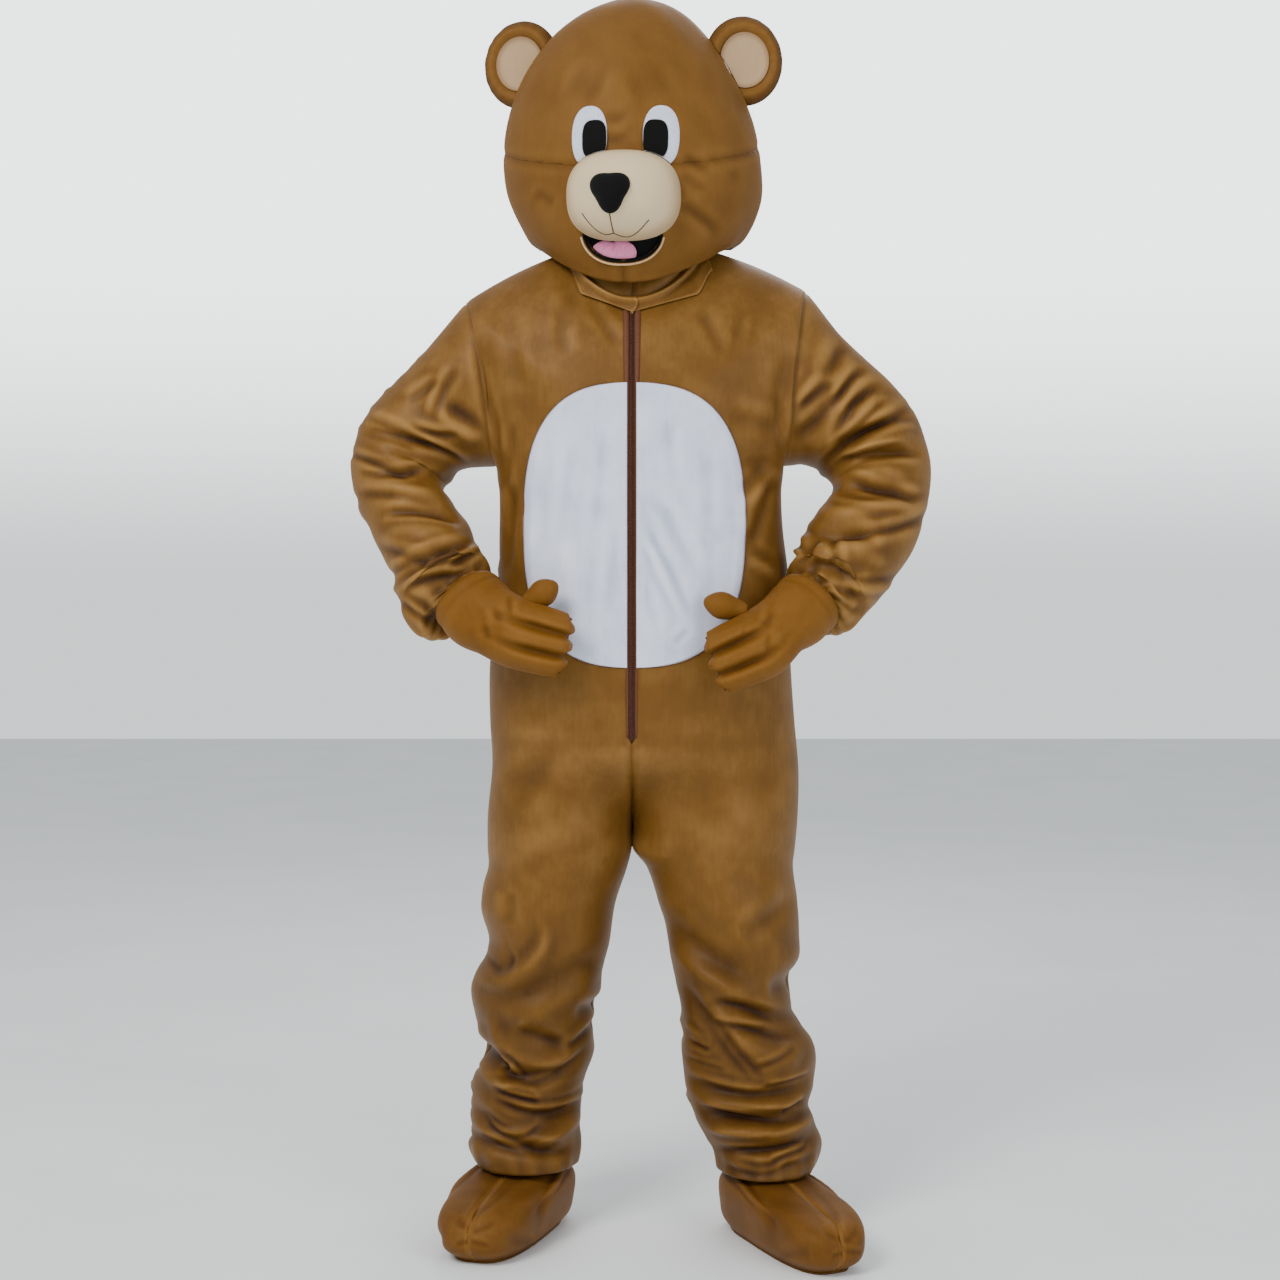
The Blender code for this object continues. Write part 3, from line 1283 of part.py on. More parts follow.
def eye_base(sign, depth):
    """The head's face at an eye's own side, moved out."""

    def base(x, z, offset):
        return head_face(x * sign + EYES_SHIFT, z, depth + offset)

    return base


def muzzle_base(x, z, offset):
    """The head's face moved straight forward, which keeps the muzzle's sides upright."""
    return head_face(x, z, LAY_GAP) + Vector((0, -offset, 0))


def muzzle_face(x, z, offset):
    """The muzzle's own front, moved forward."""
    dx, dz = x - MUZZLE["centre"][0], z - MUZZLE["centre"][1]
    share = math.hypot(dx, dz) / outline_radius(MUZZLE, math.atan2(dz, dx))
    rise = MUZZLE_REACH * (1 - min(share, 0.99) ** 2.2) ** 0.5
    return muzzle_base(x, z, rise + offset)


def nose_base(x, z, offset):
    return muzzle_face(x, z, 0.0022 + offset)


def mouth_base(x, z, offset):
    return head_face(x, z, -PADDED_WALL - FELT - 5 * LAY_GAP + offset)


def tongue_base(x, z, offset):
    return head_face(x, z, -PADDED_WALL - LAY_GAP + offset)


def mouth_cutter_mesh():
    """The mouth's outline pushed through the head's wall."""

    def build(bm):
        ring = []
        for k in range(22):
            angle = math.tau * k / 22
            reach = outline_radius(MOUTH, angle)
            x = MOUTH["centre"][0] + reach * math.cos(angle)
            z = min(MOUTH["centre"][1] + reach * math.sin(angle), MOUTH_TOP)
            ring.append(bm.verts.new((x, -0.30, z)))
        tube = bmesh.ops.extrude_face_region(bm, geom=[bm.faces.new(ring)])
        moved = [v for v in tube["geom"] if isinstance(v, bmesh.types.BMVert)]
        bmesh.ops.translate(bm, verts=moved, vec=(0, 0.22, 0))

    return mesh_from("mouth_cutter", build)


def lip_trim(parent):
    """A thin binding along the mouth's lower edge."""
    curve = bpy.data.curves.new("lip_trim", "CURVE")
    curve.dimensions = "3D"
    curve.bevel_depth = LIP_RADIUS
    curve.bevel_resolution = 1
    curve.use_fill_caps = True
    points = []
    for turn in steps(186, 354, 14):
        angle = math.radians(turn)
        reach = outline_radius(MOUTH, angle) + 0.001
        x = MOUTH["centre"][0] + reach * math.cos(angle)
        z = MOUTH["centre"][1] + reach * math.sin(angle)
        if not inside(MUZZLE, x, z, 0.004):
            points.append(head_face(x, z, LIP_RADIUS + LAY_GAP))
    spline = curve.splines.new("POLY")
    spline.points.add(len(points) - 1)
    for target, point in zip(spline.points, points):
        target.co = (*point, 1)
    trim = bpy.data.objects.new("lip_trim", curve)
    curve.materials.append(material("cream_plush"))
    bpy.context.scene.collection.objects.link(trim)
    trim.parent = parent


def ear_frame(side):
    """An ear's own plane: across and up on it, with offset toward its front."""
    sign = SIDES[side]
    x, y, z = EAR_CENTRE
    centre = Vector((x * sign, y, z))
    turn = Matrix.Rotation(math.radians(EAR_TURN) * sign, 3, "Z")

    def base(across, up, offset):
        return centre + turn @ Vector((across, -offset, up))

    return base


def ear_profile(share):
    """How far the ear's front stands out: a rolled rim round a shallow cup."""
    return 0.003 + 0.013 * math.exp(-(((share - 0.80) / 0.20) ** 2))


def ear_mesh(side):
    rings, spokes = 5, 15
    half_x, half_z = EARS[side]
    base = ear_frame(side)

    def build(bm):
        faces = []
        for front in (True, False):
            rows = []
            for ring in range(1, rings + 1):
                share = ring / rings
                edge = math.sqrt(1 - share**6)
                rise = (ear_profile(share) if front else -EAR_BACK) * edge
                row = []
                for k in range(spokes):
                    angle = math.tau * k / spokes
                    across = half_x * share * math.cos(angle)
                    row.append(bm.verts.new(base(across, half_z * share * math.sin(angle), rise)))
                rows.append(row)
            middle = bm.verts.new(base(0, 0, ear_profile(0) if front else -EAR_BACK))
            for k in range(spokes):
                m = (k + 1) % spokes
                bm.faces.new((middle, rows[0][k], rows[0][m]))
                for low, high in zip(rows, rows[1:]):
                    bm.faces.new((low[k], low[m], high[m], high[k]))
            faces += rows[-1]
        bmesh.ops.remove_doubles(bm, verts=faces, dist=0.0001)

    return mesh_from(f"ear_{side}", build)


def make_ear(side, parent, form):
    """An ear and its pale lining, both cut to the head."""
    half_x, half_z = EARS[side]
    base = ear_frame(side)

    def lining_base(across, up, offset):
        share = math.hypot(across / half_x, up / half_z)
        return base(across, up, ear_profile(share) + 0.0022 + offset)

    def lining_edge(angle):
        return EAR_INNER / math.hypot(math.cos(angle) / half_x, math.sin(angle) / half_z)

    ear = add_object(f"ear_{side}", ear_mesh(side), "plush", parent)
    lining = add_pad(
        f"ear_lining_{side}", "ear_plush", parent, (0, 0), lining_edge, lining_base, FELT, (3, 14)
    )
    boolean(ear, form, "DIFFERENCE")
    boolean(lining, form, "DIFFERENCE")


def make_eye(side, parent):
    sign = SIDES[side]
    white = ("white_felt", parent, EYE["centre"], beside_muzzle(EYE, sign))
    add_pad(f"eye_{side}", *white, eye_base(sign, LAY_GAP), EYE_RISE, (2, 16))
    depth = 2 * LAY_GAP + EYE_RISE + SEAM_GAP
    black = ("black_felt", parent, PUPIL["centre"], beside_muzzle(PUPIL, sign))
    add_pad(f"pupil_{side}", *black, eye_base(sign, depth), PUPIL_RISE, (2, 12))


def make_head(floor):
    head = bpy.data.objects.new("head_axis", None)
    bpy.context.scene.collection.objects.link(head)
    head.parent = floor
    head.rotation_euler.z = HEAD_YAW
    head_panels(head)
    form = add_cutter("head_grown", head_shell_mesh(SEAM_GAP, 0), head)
    mouth = add_cutter("mouth_cutter", mouth_cutter_mesh(), head)
    for side in SIDES:
        boolean(bpy.data.objects[f"head_cheek_{side}"], mouth, "DIFFERENCE")
        make_ear(side, head, form)
        make_eye(side, head)
    muzzle = ("cream_plush", head, MUZZLE["centre"], muzzle_edge, muzzle_base, MUZZLE_REACH)
    add_pad("muzzle", *muzzle, (5, 22))
    nose = ("black_felt", head, NOSE["centre"], nose_edge, nose_base, NOSE_REACH)
    add_pad("nose", *nose, (3, 12))
    cloth = ("black_felt", head, MOUTH["centre"], mouth_edge, mouth_base, FELT)
    add_pad("mouth_cloth", *cloth, (2, 16), 0.05)
    tongue = ("pink_felt", head, TONGUE["centre"], tongue_edge, tongue_base, TONGUE_RISE)
    add_pad("tongue", *tongue, (2, 18))
    lip_trim(head)


# -------------------------------------------------------------------------- assembly


def clear_scene():
    for obj in list(bpy.data.objects):
        bpy.data.objects.remove(obj, do_unlink=True)


def main():
    clear_scene()
    floor = bpy.data.objects.new("floor_level", None)
    bpy.context.scene.collection.objects.link(floor)
    floor.location.z = -HOLD_HEIGHT
    make_suit(floor)
    make_mittens(floor)
    make_shoes(floor)
    make_head(floor)


main()
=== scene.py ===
"""Dresses a worn bear costume: velour suit, padded head, mittens and shoe covers.

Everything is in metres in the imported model's frame: +X is the wearer's left and -Y the
front. A Table's rows, the folds and the creases are in thousandths: millimetres, or
thousandths of a share or a step. Heights are above the soles, and CARRY below the
origin is a sole.
"""

import math

import bmesh
import bpy
import numpy as np
from bpy.props import FloatProperty, FloatVectorProperty, PointerProperty
from mathutils import Matrix, Vector, noise


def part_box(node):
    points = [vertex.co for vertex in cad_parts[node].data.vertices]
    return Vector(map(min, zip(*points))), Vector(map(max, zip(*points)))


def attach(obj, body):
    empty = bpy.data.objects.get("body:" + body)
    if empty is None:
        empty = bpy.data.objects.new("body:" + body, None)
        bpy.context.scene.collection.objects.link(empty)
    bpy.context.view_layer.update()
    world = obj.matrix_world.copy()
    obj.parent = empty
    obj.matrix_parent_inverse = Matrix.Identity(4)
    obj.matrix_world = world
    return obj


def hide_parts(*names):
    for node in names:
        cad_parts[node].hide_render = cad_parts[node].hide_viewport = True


bl_info = {
    "name": "Bear Costume",
    "version": (1, 0, 0),
    "blender": (4, 5, 0),
    "location": "3D View > Sidebar > Costume",
    "description": "Dresses a zipped bear costume in velour, felt and stitching",
    "category": "Object",
}

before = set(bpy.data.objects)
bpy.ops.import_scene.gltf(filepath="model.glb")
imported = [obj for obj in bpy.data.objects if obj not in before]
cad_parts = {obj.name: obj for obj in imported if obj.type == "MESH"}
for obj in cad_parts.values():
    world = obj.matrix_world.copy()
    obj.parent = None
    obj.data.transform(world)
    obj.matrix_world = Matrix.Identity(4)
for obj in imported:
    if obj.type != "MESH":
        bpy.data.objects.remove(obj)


# ---------------------------------------------------------------- the costume's sizes

CARRY = 1.440  # the origin's height above the soles
DOWN = Vector((0, 0, CARRY))  # comes off each place that is given above the soles
# Thicknesses, and the gaps between pieces that lie on each other and at a seam.
PLUSH = 0.002
PADDED_WALL = 0.008
FELT = 0.0015
SHOE_WALL = 0.0025
SOLE = 0.003
LAY_GAP = 0.0007
SEAM_GAP = 0.0003
WELD = 0.00002  # places nearer than that are one

# Heights and reaches on the suit, and sizes of its openings.
NECK_FRONT = 1.405
NECK_BACK = 1.490
ARMPIT = 1.165
ARMHOLE_DEPTH = 0.088
# Each side's neck point, shoulder tip, and the armhole's distance at its middle and foot.
SHOULDERS = {
    "left": (np.array((0.110, 0.004, 1.494)), np.array((0.264, 0.004, 1.430)), 0.243, 0.225),
    "right": (np.array((0.104, 0.004, 1.488)), np.array((0.252, 0.004, 1.414)), 0.226, 0.203),
}
SHOULDER_CROWN = 0.005
# Between these lengths of a panel the chest comes free of the armhole's pull, up to
# that share of its width.
CHEST_TOP, CHEST_FOOT = 0.8, 1.8
CHEST_WIDTH = 0.35
CROTCH = 0.585
CLEFT_RISE = 0.165
HEM = 0.100
HEM_DROP = 0.010
ZIP_BOTTOM = 0.755
ZIP_SLOT = 0.0065
ZIP_END = 0.012
ZIP_TAPE, ZIP_TAPE_WALL = 0.012, 0.001
TOOTH_PITCH, TOOTH = 0.0020, (0.0042, 0.0020, 0.0013)  # spacing and size of the teeth
SLIDER = 0.014
WELT_TOP, WELT_FOOT = 0.0050, 0.0017  # radius of the welts beside the zip
COLLAR_RISE = 0.048
COLLAR_POINT = 1.3885  # the height of the point that the collar's fall comes down to
# How far out each half's lower edge reaches, its slope, and how far it laps past the zip.
COLLAR_FALLS = {"left": (0.120, 0.283, 0.0), "right": (0.092, 0.38, 0.009)}
ELBOW = 0.24

HEAD_TURN = Matrix.Rotation(math.radians(-5), 4, "Z")
CHEEK_SEAM = (1.645, 0.31)  # the cheek seam's height at the head's side, and its slope
CROWN_SEAM = 0.012

SIDES = {"left": 1, "right": -1}
OTHER = {"left": "right", "right": "left"}


class Table:
    """Rows of named measurements, read smoothly at any values of the first column."""

    def __init__(self, columns, *rows):
        self.columns = columns
        self.rows = np.array(sorted(rows), float) / 1000
        self.keys = self.rows[:, 0]

    def at(self, key):
        """The measurements there, by name, on a smooth curve through the rows."""
        key = np.asarray(key, float)
        last = len(self.keys) - 1
        i = np.clip(np.searchsorted(self.keys, key, side="right") - 1, 0, last - 1)
        step = (self.keys[i + 1] - self.keys[i])[..., None]
        t = np.clip((key - self.keys[i])[..., None] / step, 0.0, 1.0)
        slopes = []
        for k in (i, i + 1):
            low, high = np.maximum(k - 1, 0), np.minimum(k + 1, last)
            rise = self.rows[high] - self.rows[low]
            slopes.append(rise / (self.keys[high] - self.keys[low])[..., None] * step)
        found = (
            (2 * t**3 - 3 * t**2 + 1) * self.rows[i]
            + (t**3 - 2 * t**2 + t) * slopes[0]
            + (3 * t**2 - 2 * t**3) * self.rows[i + 1]
            + (t**3 - t**2) * slopes[1]
        )
        return {name: found[..., column] for column, name in enumerate(self.columns)}


# Half widths to the wearer's right and left, and depths to the front and back.
BODY = Table(
    ("height", "right", "left", "front", "back"),
    (1490, 100, 100, 60, 70),
    (1440, 150, 150, 82, 96),
    (1405, 180, 180, 98, 108),
    (1360, 210, 220, 126, 117),
    (1300, 208, 225, 146, 124),
    (1230, 205, 224, 158, 124),
    (1165, 201, 221, 164, 118),
    (1100, 190, 226, 168, 112),
    (1020, 199, 236, 172, 112),
    (940, 208, 238, 174, 124),
    (860, 216, 241, 172, 140),
    (780, 216, 247, 164, 146),
    (700, 212, 254, 152, 140),
    (620, 221, 252, 138, 130),
)

# Each leg as the side distances of its inseam and side seam, and its depths.
LEG_COLUMNS = ("height", "inner", "outer", "front", "back")
LEGS = {
    "right": Table(
        LEG_COLUMNS,
        (790, 0, 216, 160, 142),
        (690, 0, 214, 146, 136),
        (620, 0, 221, 134, 128),
        (585, 0, 221, 128, 124),
        (555, 7, 220, 124, 120),
        (500, 25, 233, 120, 110),
        (440, 34, 218, 118, 98),
        (375, 50, 246, 114, 92),
        (315, 59, 237, 102, 96),
        (270, 59, 229, 92, 100),
        (225, 73, 246, 90, 100),
        (165, 81, 248, 88, 92),
        (125, 80, 250, 92, 96),
        (100, 84, 240, 94, 100),
    ),
    "left": Table(
        LEG_COLUMNS,
        (790, 0, 247, 160, 142),
        (690, 0, 254, 146, 136),
        (620, 0, 252, 134, 128),
        (585, 0, 249, 128, 122),
        (555, 22, 246, 126, 116),
        (500, 40, 253, 126, 104),
        (440, 54, 254, 126, 88),
        (375, 67, 244, 126, 76),
        (340, 74, 243, 124, 72),
        (285, 75, 278, 120, 70),
        (225, 80, 277, 118, 68),
        (190, 90, 269, 118, 62),
        (150, 112, 287, 122, 60),
        (125, 126, 286, 126, 62),
        (100, 130, 276, 128, 64),
    ),
}

# Folds pressed into a wall, as strokes in front or back elevation: distances to the
# wearer's own side and heights of both ends, how far the middle bows (up, on a stroke
# that runs outward), the fold's half width, and its depth: ridges plus, troughs minus.
# The legs' folds come first, then the body's, which stay clear of the pale belly.
SUIT_FOLDS = {
    ("right", "front"): (
        (129, 480, 229, 392, -34, 16, 8), (181, 440, 218, 418, -20, 13, -4),
        (47, 433, 229, 369, -16, 18, -8), (58, 399, 166, 334, 0, 22, 8),
        (103, 300, 164, 328, 0, 14, -7), (77, 288, 214, 340, -38, 13, 10),
        (73, 291, 199, 262, -34, 12, -11), (95, 250, 231, 254, -20, 12, 9),
        (185, 262, 260, 290, 0, 13, -14), (81, 200, 203, 217, -18, 12, -12),
        (142, 176, 240, 191, -10, 11, -8), (84, 172, 147, 142, 0, 11, 7),
        (90, 126, 250, 146, 4, 11, -13), (30, 345, 85, 345, 0, 12, -8),
        (197, 1195, 226, 1350, 0, 14, -6), (60, 640, 190, 700, 20, 22, -2),
        (50, 600, 160, 560, 10, 20, -3),
    ),
    ("right", "back"): (
        (60, 450, 220, 400, -20, 18, -8), (50, 385, 200, 350, -18, 18, 9),
        (70, 330, 240, 310, 12, 14, -10), (60, 270, 220, 292, -14, 13, 9),
        (80, 232, 240, 246, 10, 12, -11), (80, 196, 230, 178, -10, 12, 9),
        (90, 150, 250, 158, 6, 12, -12), (90, 118, 230, 108, 0, 11, 7),
        (120, 1120, 200, 1220, 10, 22, -8), (0, 1060, 190, 1030, -20, 24, -8),
        (20, 780, 150, 700, -20, 24, -8), (60, 640, 200, 590, -14, 22, -7),
    ),
    ("left", "front"): (
        (53, 485, 171, 418, -18, 18, -8), (66, 440, 171, 380, -6, 14, 8),
        (75, 392, 201, 243, -9, 13, -10), (116, 366, 246, 306, 16, 12, -9),
        (127, 334, 238, 299, 6, 11, -6), (145, 310, 250, 272, 0, 22, 10),
        (86, 243, 270, 246, -20, 12, -11), (92, 224, 246, 204, -4, 12, 10),
        (106, 196, 250, 188, 0, 12, -14), (110, 172, 270, 178, 0, 12, 10),
        (126, 138, 280, 152, 0, 11, -11), (138, 112, 280, 130, -4, 11, -9),
        (205, 386, 280, 386, 0, 20, -12),
        (205, 1190, 236, 1330, 0, 14, -6), (60, 650, 230, 690, 20, 24, -2),
        (60, 590, 180, 540, 10, 22, -3),
    ),
    ("left", "back"): (
        (80, 460, 240, 425, 16, 20, -8), (70, 380, 240, 352, 14, 18, 8),
        (90, 318, 260, 300, -14, 14, -11), (80, 276, 250, 262, 10, 13, 10),
        (100, 232, 270, 226, -10, 12, -12), (100, 196, 260, 200, 8, 12, 9),
        (120, 160, 280, 154, 0, 12, -12), (130, 124, 270, 132, 0, 11, 8),
        (120, 1140, 215, 1230, 10, 22, -8), (0, 1000, 200, 980, 18, 24, -8),
        (20, 740, 170, 680, -20, 24, -8), (50, 620, 220, 570, -14, 22, -7),
    ),
}

# Each arm's outer and inner line in elevation, how far its middle lies behind, and half
# its depth. The sleeve leaves the armhole at 0 and is gathered on its elastic at 1.
ARM_COLUMNS = ("along", "outer_x", "outer_z", "inner_x", "inner_z", "y", "depth")
ARMS = {
    "left": Table(
        ARM_COLUMNS,
        (0, 264, 1430, 225, 1165, 2, 88), (60, 284, 1405, 241, 1166, 3, 89),
        (120, 312, 1368, 258, 1167, 4, 89), (180, 350, 1332, 274, 1164, 6, 88),
        (240, 392, 1294, 287, 1157, 8, 86), (300, 428, 1250, 296, 1146, 8, 84),
        (380, 447, 1203, 301, 1131, 5, 82), (460, 454, 1160, 299, 1113, -8, 79),
        (540, 446, 1106, 284, 1096, -28, 76), (620, 424, 1042, 267, 1076, -52, 74),
        (700, 388, 992, 254, 1055, -78, 72), (780, 362, 960, 246, 1034, -98, 69),
        (850, 334, 934, 236, 1020, -112, 65), (910, 311, 918, 240, 1002, -116, 52),
        (950, 290, 940, 238, 992, -137, 34), (1000, 276, 934, 230, 980, -147, 33),
    ),
    "right": Table(
        ARM_COLUMNS,
        (0, 252, 1414, 203, 1165, 2, 88), (60, 272, 1390, 225, 1164, 3, 89),
        (120, 298, 1358, 246, 1163, 4, 89), (180, 331, 1322, 262, 1159, 6, 87),
        (240, 371, 1283, 273, 1152, 8, 84), (300, 406, 1242, 281, 1142, 8, 81),
        (380, 423, 1198, 284, 1128, 5, 78), (460, 427, 1158, 280, 1112, -8, 75),
        (540, 412, 1104, 265, 1096, -28, 71), (620, 383, 1045, 246, 1077, -52, 69),
        (700, 356, 998, 234, 1052, -78, 67), (780, 346, 968, 222, 1034, -98, 68),
        (850, 332, 934, 214, 1022, -112, 64), (910, 303, 910, 218, 1004, -117, 50),
        (950, 275, 945, 217, 997, -137, 34), (1000, 260, 939, 210, 984, -147, 34),
    ),
}
SLEEVE_FOLDS = {
    ("right", "front"): (
        (262, 1168, 394, 1223, 4, 15, -9), (290, 1140, 420, 1168, 8, 14, -6),
        (254, 1077, 360, 1084, 14, 14, -8), (250, 1055, 367, 1055, 12, 16, 6),
        (230, 1035, 343, 985, 18, 15, -7), (240, 1000, 302, 950, 12, 15, -3),
        (267, 925, 339, 976, 0, 11, -8), (232, 1204, 302, 1265, -8, 15, 4),
        (295, 1310, 315, 1230, 0, 17, -3),
    ),
    ("left", "front"): (
        (254, 1243, 314, 1350, -18, 15, -8), (249, 1204, 352, 1304, 0, 13, -9),
        (306, 1195, 384, 1282, 18, 12, -11), (288, 1162, 384, 1230, 8, 13, -14),
        (297, 1150, 436, 1178, 14, 11, -10), (319, 1177, 420, 1212, 6, 11, 7),
        (301, 1125, 420, 1108, 18, 12, -10), (288, 1094, 424, 1125, -10, 14, 8),
        (262, 1060, 354, 1051, 12, 12, -11), (270, 1034, 384, 1068, -8, 14, 8),
        (253, 1018, 341, 1003, 4, 11, -9), (271, 998, 297, 930, 0, 10, -9),
        (296, 1010, 338, 945, 0, 11, -9),
    ),
    ("right", "back"): (
        (250, 1200, 400, 1225, 10, 18, -8), (270, 1150, 420, 1170, -10, 14, 9),
        (270, 1120, 410, 1125, 12, 13, -10), (260, 1075, 390, 1080, -12, 13, 9),
        (240, 1040, 370, 1030, 10, 12, -10), (220, 1000, 340, 970, 10, 12, 8),
    ),
    ("left", "back"): (
        (260, 1215, 410, 1230, 12, 18, -9), (290, 1165, 440, 1180, -12, 14, 9),
        (290, 1130, 430, 1130, 14, 13, -10), (280, 1085, 420, 1095, -12, 13, 9),
        (260, 1045, 400, 1035, 12, 12, -10), (240, 1005, 370, 980, 10, 12, 8),
    ),
}

# Finer creases, as the same strokes. Each side's back repeats the other side's front.
SUIT_CREASES = {
    "right": (
        (131, 459, 196, 403, -12, 10, 4), (107, 295, 170, 317, 0, 10, -5),
        (171, 250, 199, 288, 0, 6, 4), (190, 260, 201, 263, 0, 6, -6),
        (121, 250, 203, 234, 0, 6, 4), (144, 211, 199, 226, 0, 5, -5),
        (147, 224, 184, 232, 0, 4, -4), (79, 213, 196, 221, -16, 6, 5),
        (151, 176, 208, 191, -10, 6, 3), (147, 172, 214, 176, -18, 5, -4),
        (158, 135, 229, 161, 0, 6, 4), (81, 176, 140, 150, 0, 10, 4),
        (51, 321, 92, 291, 0, 7, -5), (180, 526, 183, 485, 0, 10, -3),
        (184, 1125, 232, 1326, 0, 8, -4), (168, 1287, 183, 1380, 0, 12, -2),
        (100, 1331, 110, 1395, 0, 10, -2), (176, 1122, 183, 1014, 0, 8, -4),
        (176, 1219, 181, 1151, 0, 8, -3), (24, 1342, 62, 1398, 0, 9, -1.5),
        (88, 1419, 92, 1365, 0, 12, -2), (117, 750, 198, 610, 0, 22, -4),
    ),
    "left": (
        (120, 325, 183, 254, 0, 6, 3), (120, 362, 205, 340, 8, 8, -5),
        (131, 332, 242, 306, 4, 8, -5), (127, 343, 190, 332, 0, 6, 3),
        (82, 325, 101, 310, 0, 4, 2), (86, 302, 112, 291, 0, 4, -2),
        (90, 291, 116, 286, 0, 4, 2), (84, 273, 134, 265, 0, 4, -2),
        (186, 269, 238, 291, 0, 6, -3), (97, 254, 201, 237, -4, 6, 4),
        (201, 239, 260, 248, 0, 4, -4), (227, 200, 257, 209, 0, 5, -6),
        (116, 211, 238, 191, -2, 5, 4), (127, 176, 190, 182, 0, 6, 3),
        (208, 165, 264, 176, 0, 6, 3), (127, 161, 208, 157, 0, 6, -3),
        (145, 139, 246, 154, 0, 5, -4), (212, 131, 260, 142, 0, 5, -6),
        (153, 124, 220, 124, -8, 5, 4), (171, 470, 238, 511, 0, 16, -6),
        (60, 492, 183, 407, 0, 30, -6), (148, 1229, 212, 1219, 0, 14, -4),
        (173, 1170, 202, 1122, 10, 14, -4), (170, 1107, 212, 1156, 0, 10, 4),
        (178, 1053, 207, 1131, 0, 10, -4), (173, 1024, 207, 1005, 0, 8, 3),
        (217, 1258, 222, 1180, 0, 8, -4), (100, 1385, 129, 1331, 0, 10, -2),
        (161, 1333, 173, 1381, 0, 8, 1.5),
    ),
}
SLEEVE_CREASES = {
    "right": (
        (262, 1172, 390, 1219, 4, 6, -7), (300, 1190, 390, 1232, 4, 6, -5),
        (340, 1150, 420, 1180, 0, 6, -5), (262, 1300, 290, 1235, 6, 8, -4),
        (262, 1215, 320, 1222, -8, 6, -4), (290, 1290, 330, 1262, 0, 7, -3),
        (300, 1108, 400, 1118, 6, 7, -4), (292, 1020, 370, 1040, 0, 8, -4),
        (230, 1204, 285, 1239, 0, 10, 4), (324, 1189, 398, 1213, 0, 6, -4),
        (319, 1160, 402, 1156, -6, 6, -5), (289, 1156, 367, 1178, 0, 7, 4),
        (267, 1068, 363, 1077, 14, 6, 4), (241, 1038, 350, 998, 16, 6, -5),
        (228, 1038, 332, 981, 12, 6, 4), (250, 998, 324, 977, 10, 6, -5),
        (228, 1033, 263, 1016, 0, 5, -6), (267, 924, 341, 963, -6, 6, -5),
    ),
    "left": (
        (297, 1287, 323, 1331, 0, 8, 4), (254, 1252, 288, 1287, 0, 7, -5),
        (310, 1248, 341, 1296, 0, 6, 5), (310, 1265, 341, 1309, 0, 6, -5),
        (332, 1243, 376, 1283, 0, 6, 5), (306, 1195, 367, 1256, -4, 6, -6),
        (297, 1173, 411, 1248, 4, 6, -6), (341, 1195, 419, 1221, 8, 7, 5),
        (310, 1160, 411, 1182, 14, 6, -6), (323, 1160, 424, 1169, 8, 6, 4),
        (332, 1143, 419, 1116, -4, 7, -5), (310, 1116, 424, 1108, -10, 7, 4),
        (280, 1064, 432, 1090, -14, 8, -6), (293, 1060, 297, 1020, 0, 7, -5),
        (306, 1033, 363, 1003, 0, 10, -4), (280, 1012, 384, 994, -20, 7, 5),
        (267, 998, 288, 972, 0, 5, -5), (271, 977, 328, 946, 0, 6, -5),
        (249, 1020, 271, 1055, 0, 6, -6),
    ),
}
BELLY_CREASES = {
    "right": (
        (40, 1230, 52, 1060, 0, 8, -2), (85, 1215, 100, 1040, 0, 10, -2),
        (20, 1090, 36, 930, 0, 8, -1.8), (128, 1150, 130, 1020, 0, 9, -1.8),
    ),
    "left": (
        (7, 1078, 78, 930, 2, 6, 3.8), (30, 1120, 100, 985, 2, 10, -2.2),
        (50, 1240, 60, 1120, 0, 8, -1.8), (105, 1200, 110, 1060, 0, 10, -2),
        (12, 1000, 40, 905, 0, 8, -2), (60, 900, 85, 925, 0, 6, -2.5),
    ),
}
# On the back of each mitten.
MITTEN_CREASES = {
    "right": (
        (133, 964, 150, 993, 0, 4, -3), (127, 966, 143, 990, 0, 3, 1.5),
        (184, 937, 198, 952, 0, 5, -4), (175, 945, 176, 974, 0, 5, -4),
        (165, 971, 167, 945, 0, 6, 3), (205, 908, 212, 935, 0, 5, -4),
        (201, 927, 205, 955, 0, 6, 3), (214, 900, 222, 922, 0, 5, 2),
    ),
    "left": (
        (162, 981, 164, 959, 0, 4, -3), (168, 983, 168, 960, 0, 3, 2),
        (171, 959, 174, 981, 0, 4, -2.5), (190, 928, 205, 952, 0, 6, -4),
        (183, 938, 196, 962, 0, 6, 2.5), (193, 923, 197, 890, 0, 5, -4),
        (157, 927, 161, 918, 0, 4, -2), (208, 925, 212, 898, 0, 6, 2),
    ),
}
# On each half of a shoe cover, as distances from its front seam and heights.
SHOE_CREASES = (
    (30, 100, 120, 115, 0, 8, -3), (20, 85, 100, 98, 4, 7, 2),
    (50, 125, 160, 135, 0, 6, -3), (120, 60, 200, 85, 0, 10, -2),
    (0, 52, 40, 66, 0, 5, -2.5), (2, 40, 35, 34, 0, 4, -2),
    (0, 64, 30, 80, 0, 4, 1.5), (160, 100, 240, 120, 0, 8, 3),
    (15, 120, 170, 40, 10, 16, -4.5), (60, 40, 130, 14, 0, 10, -3),
)
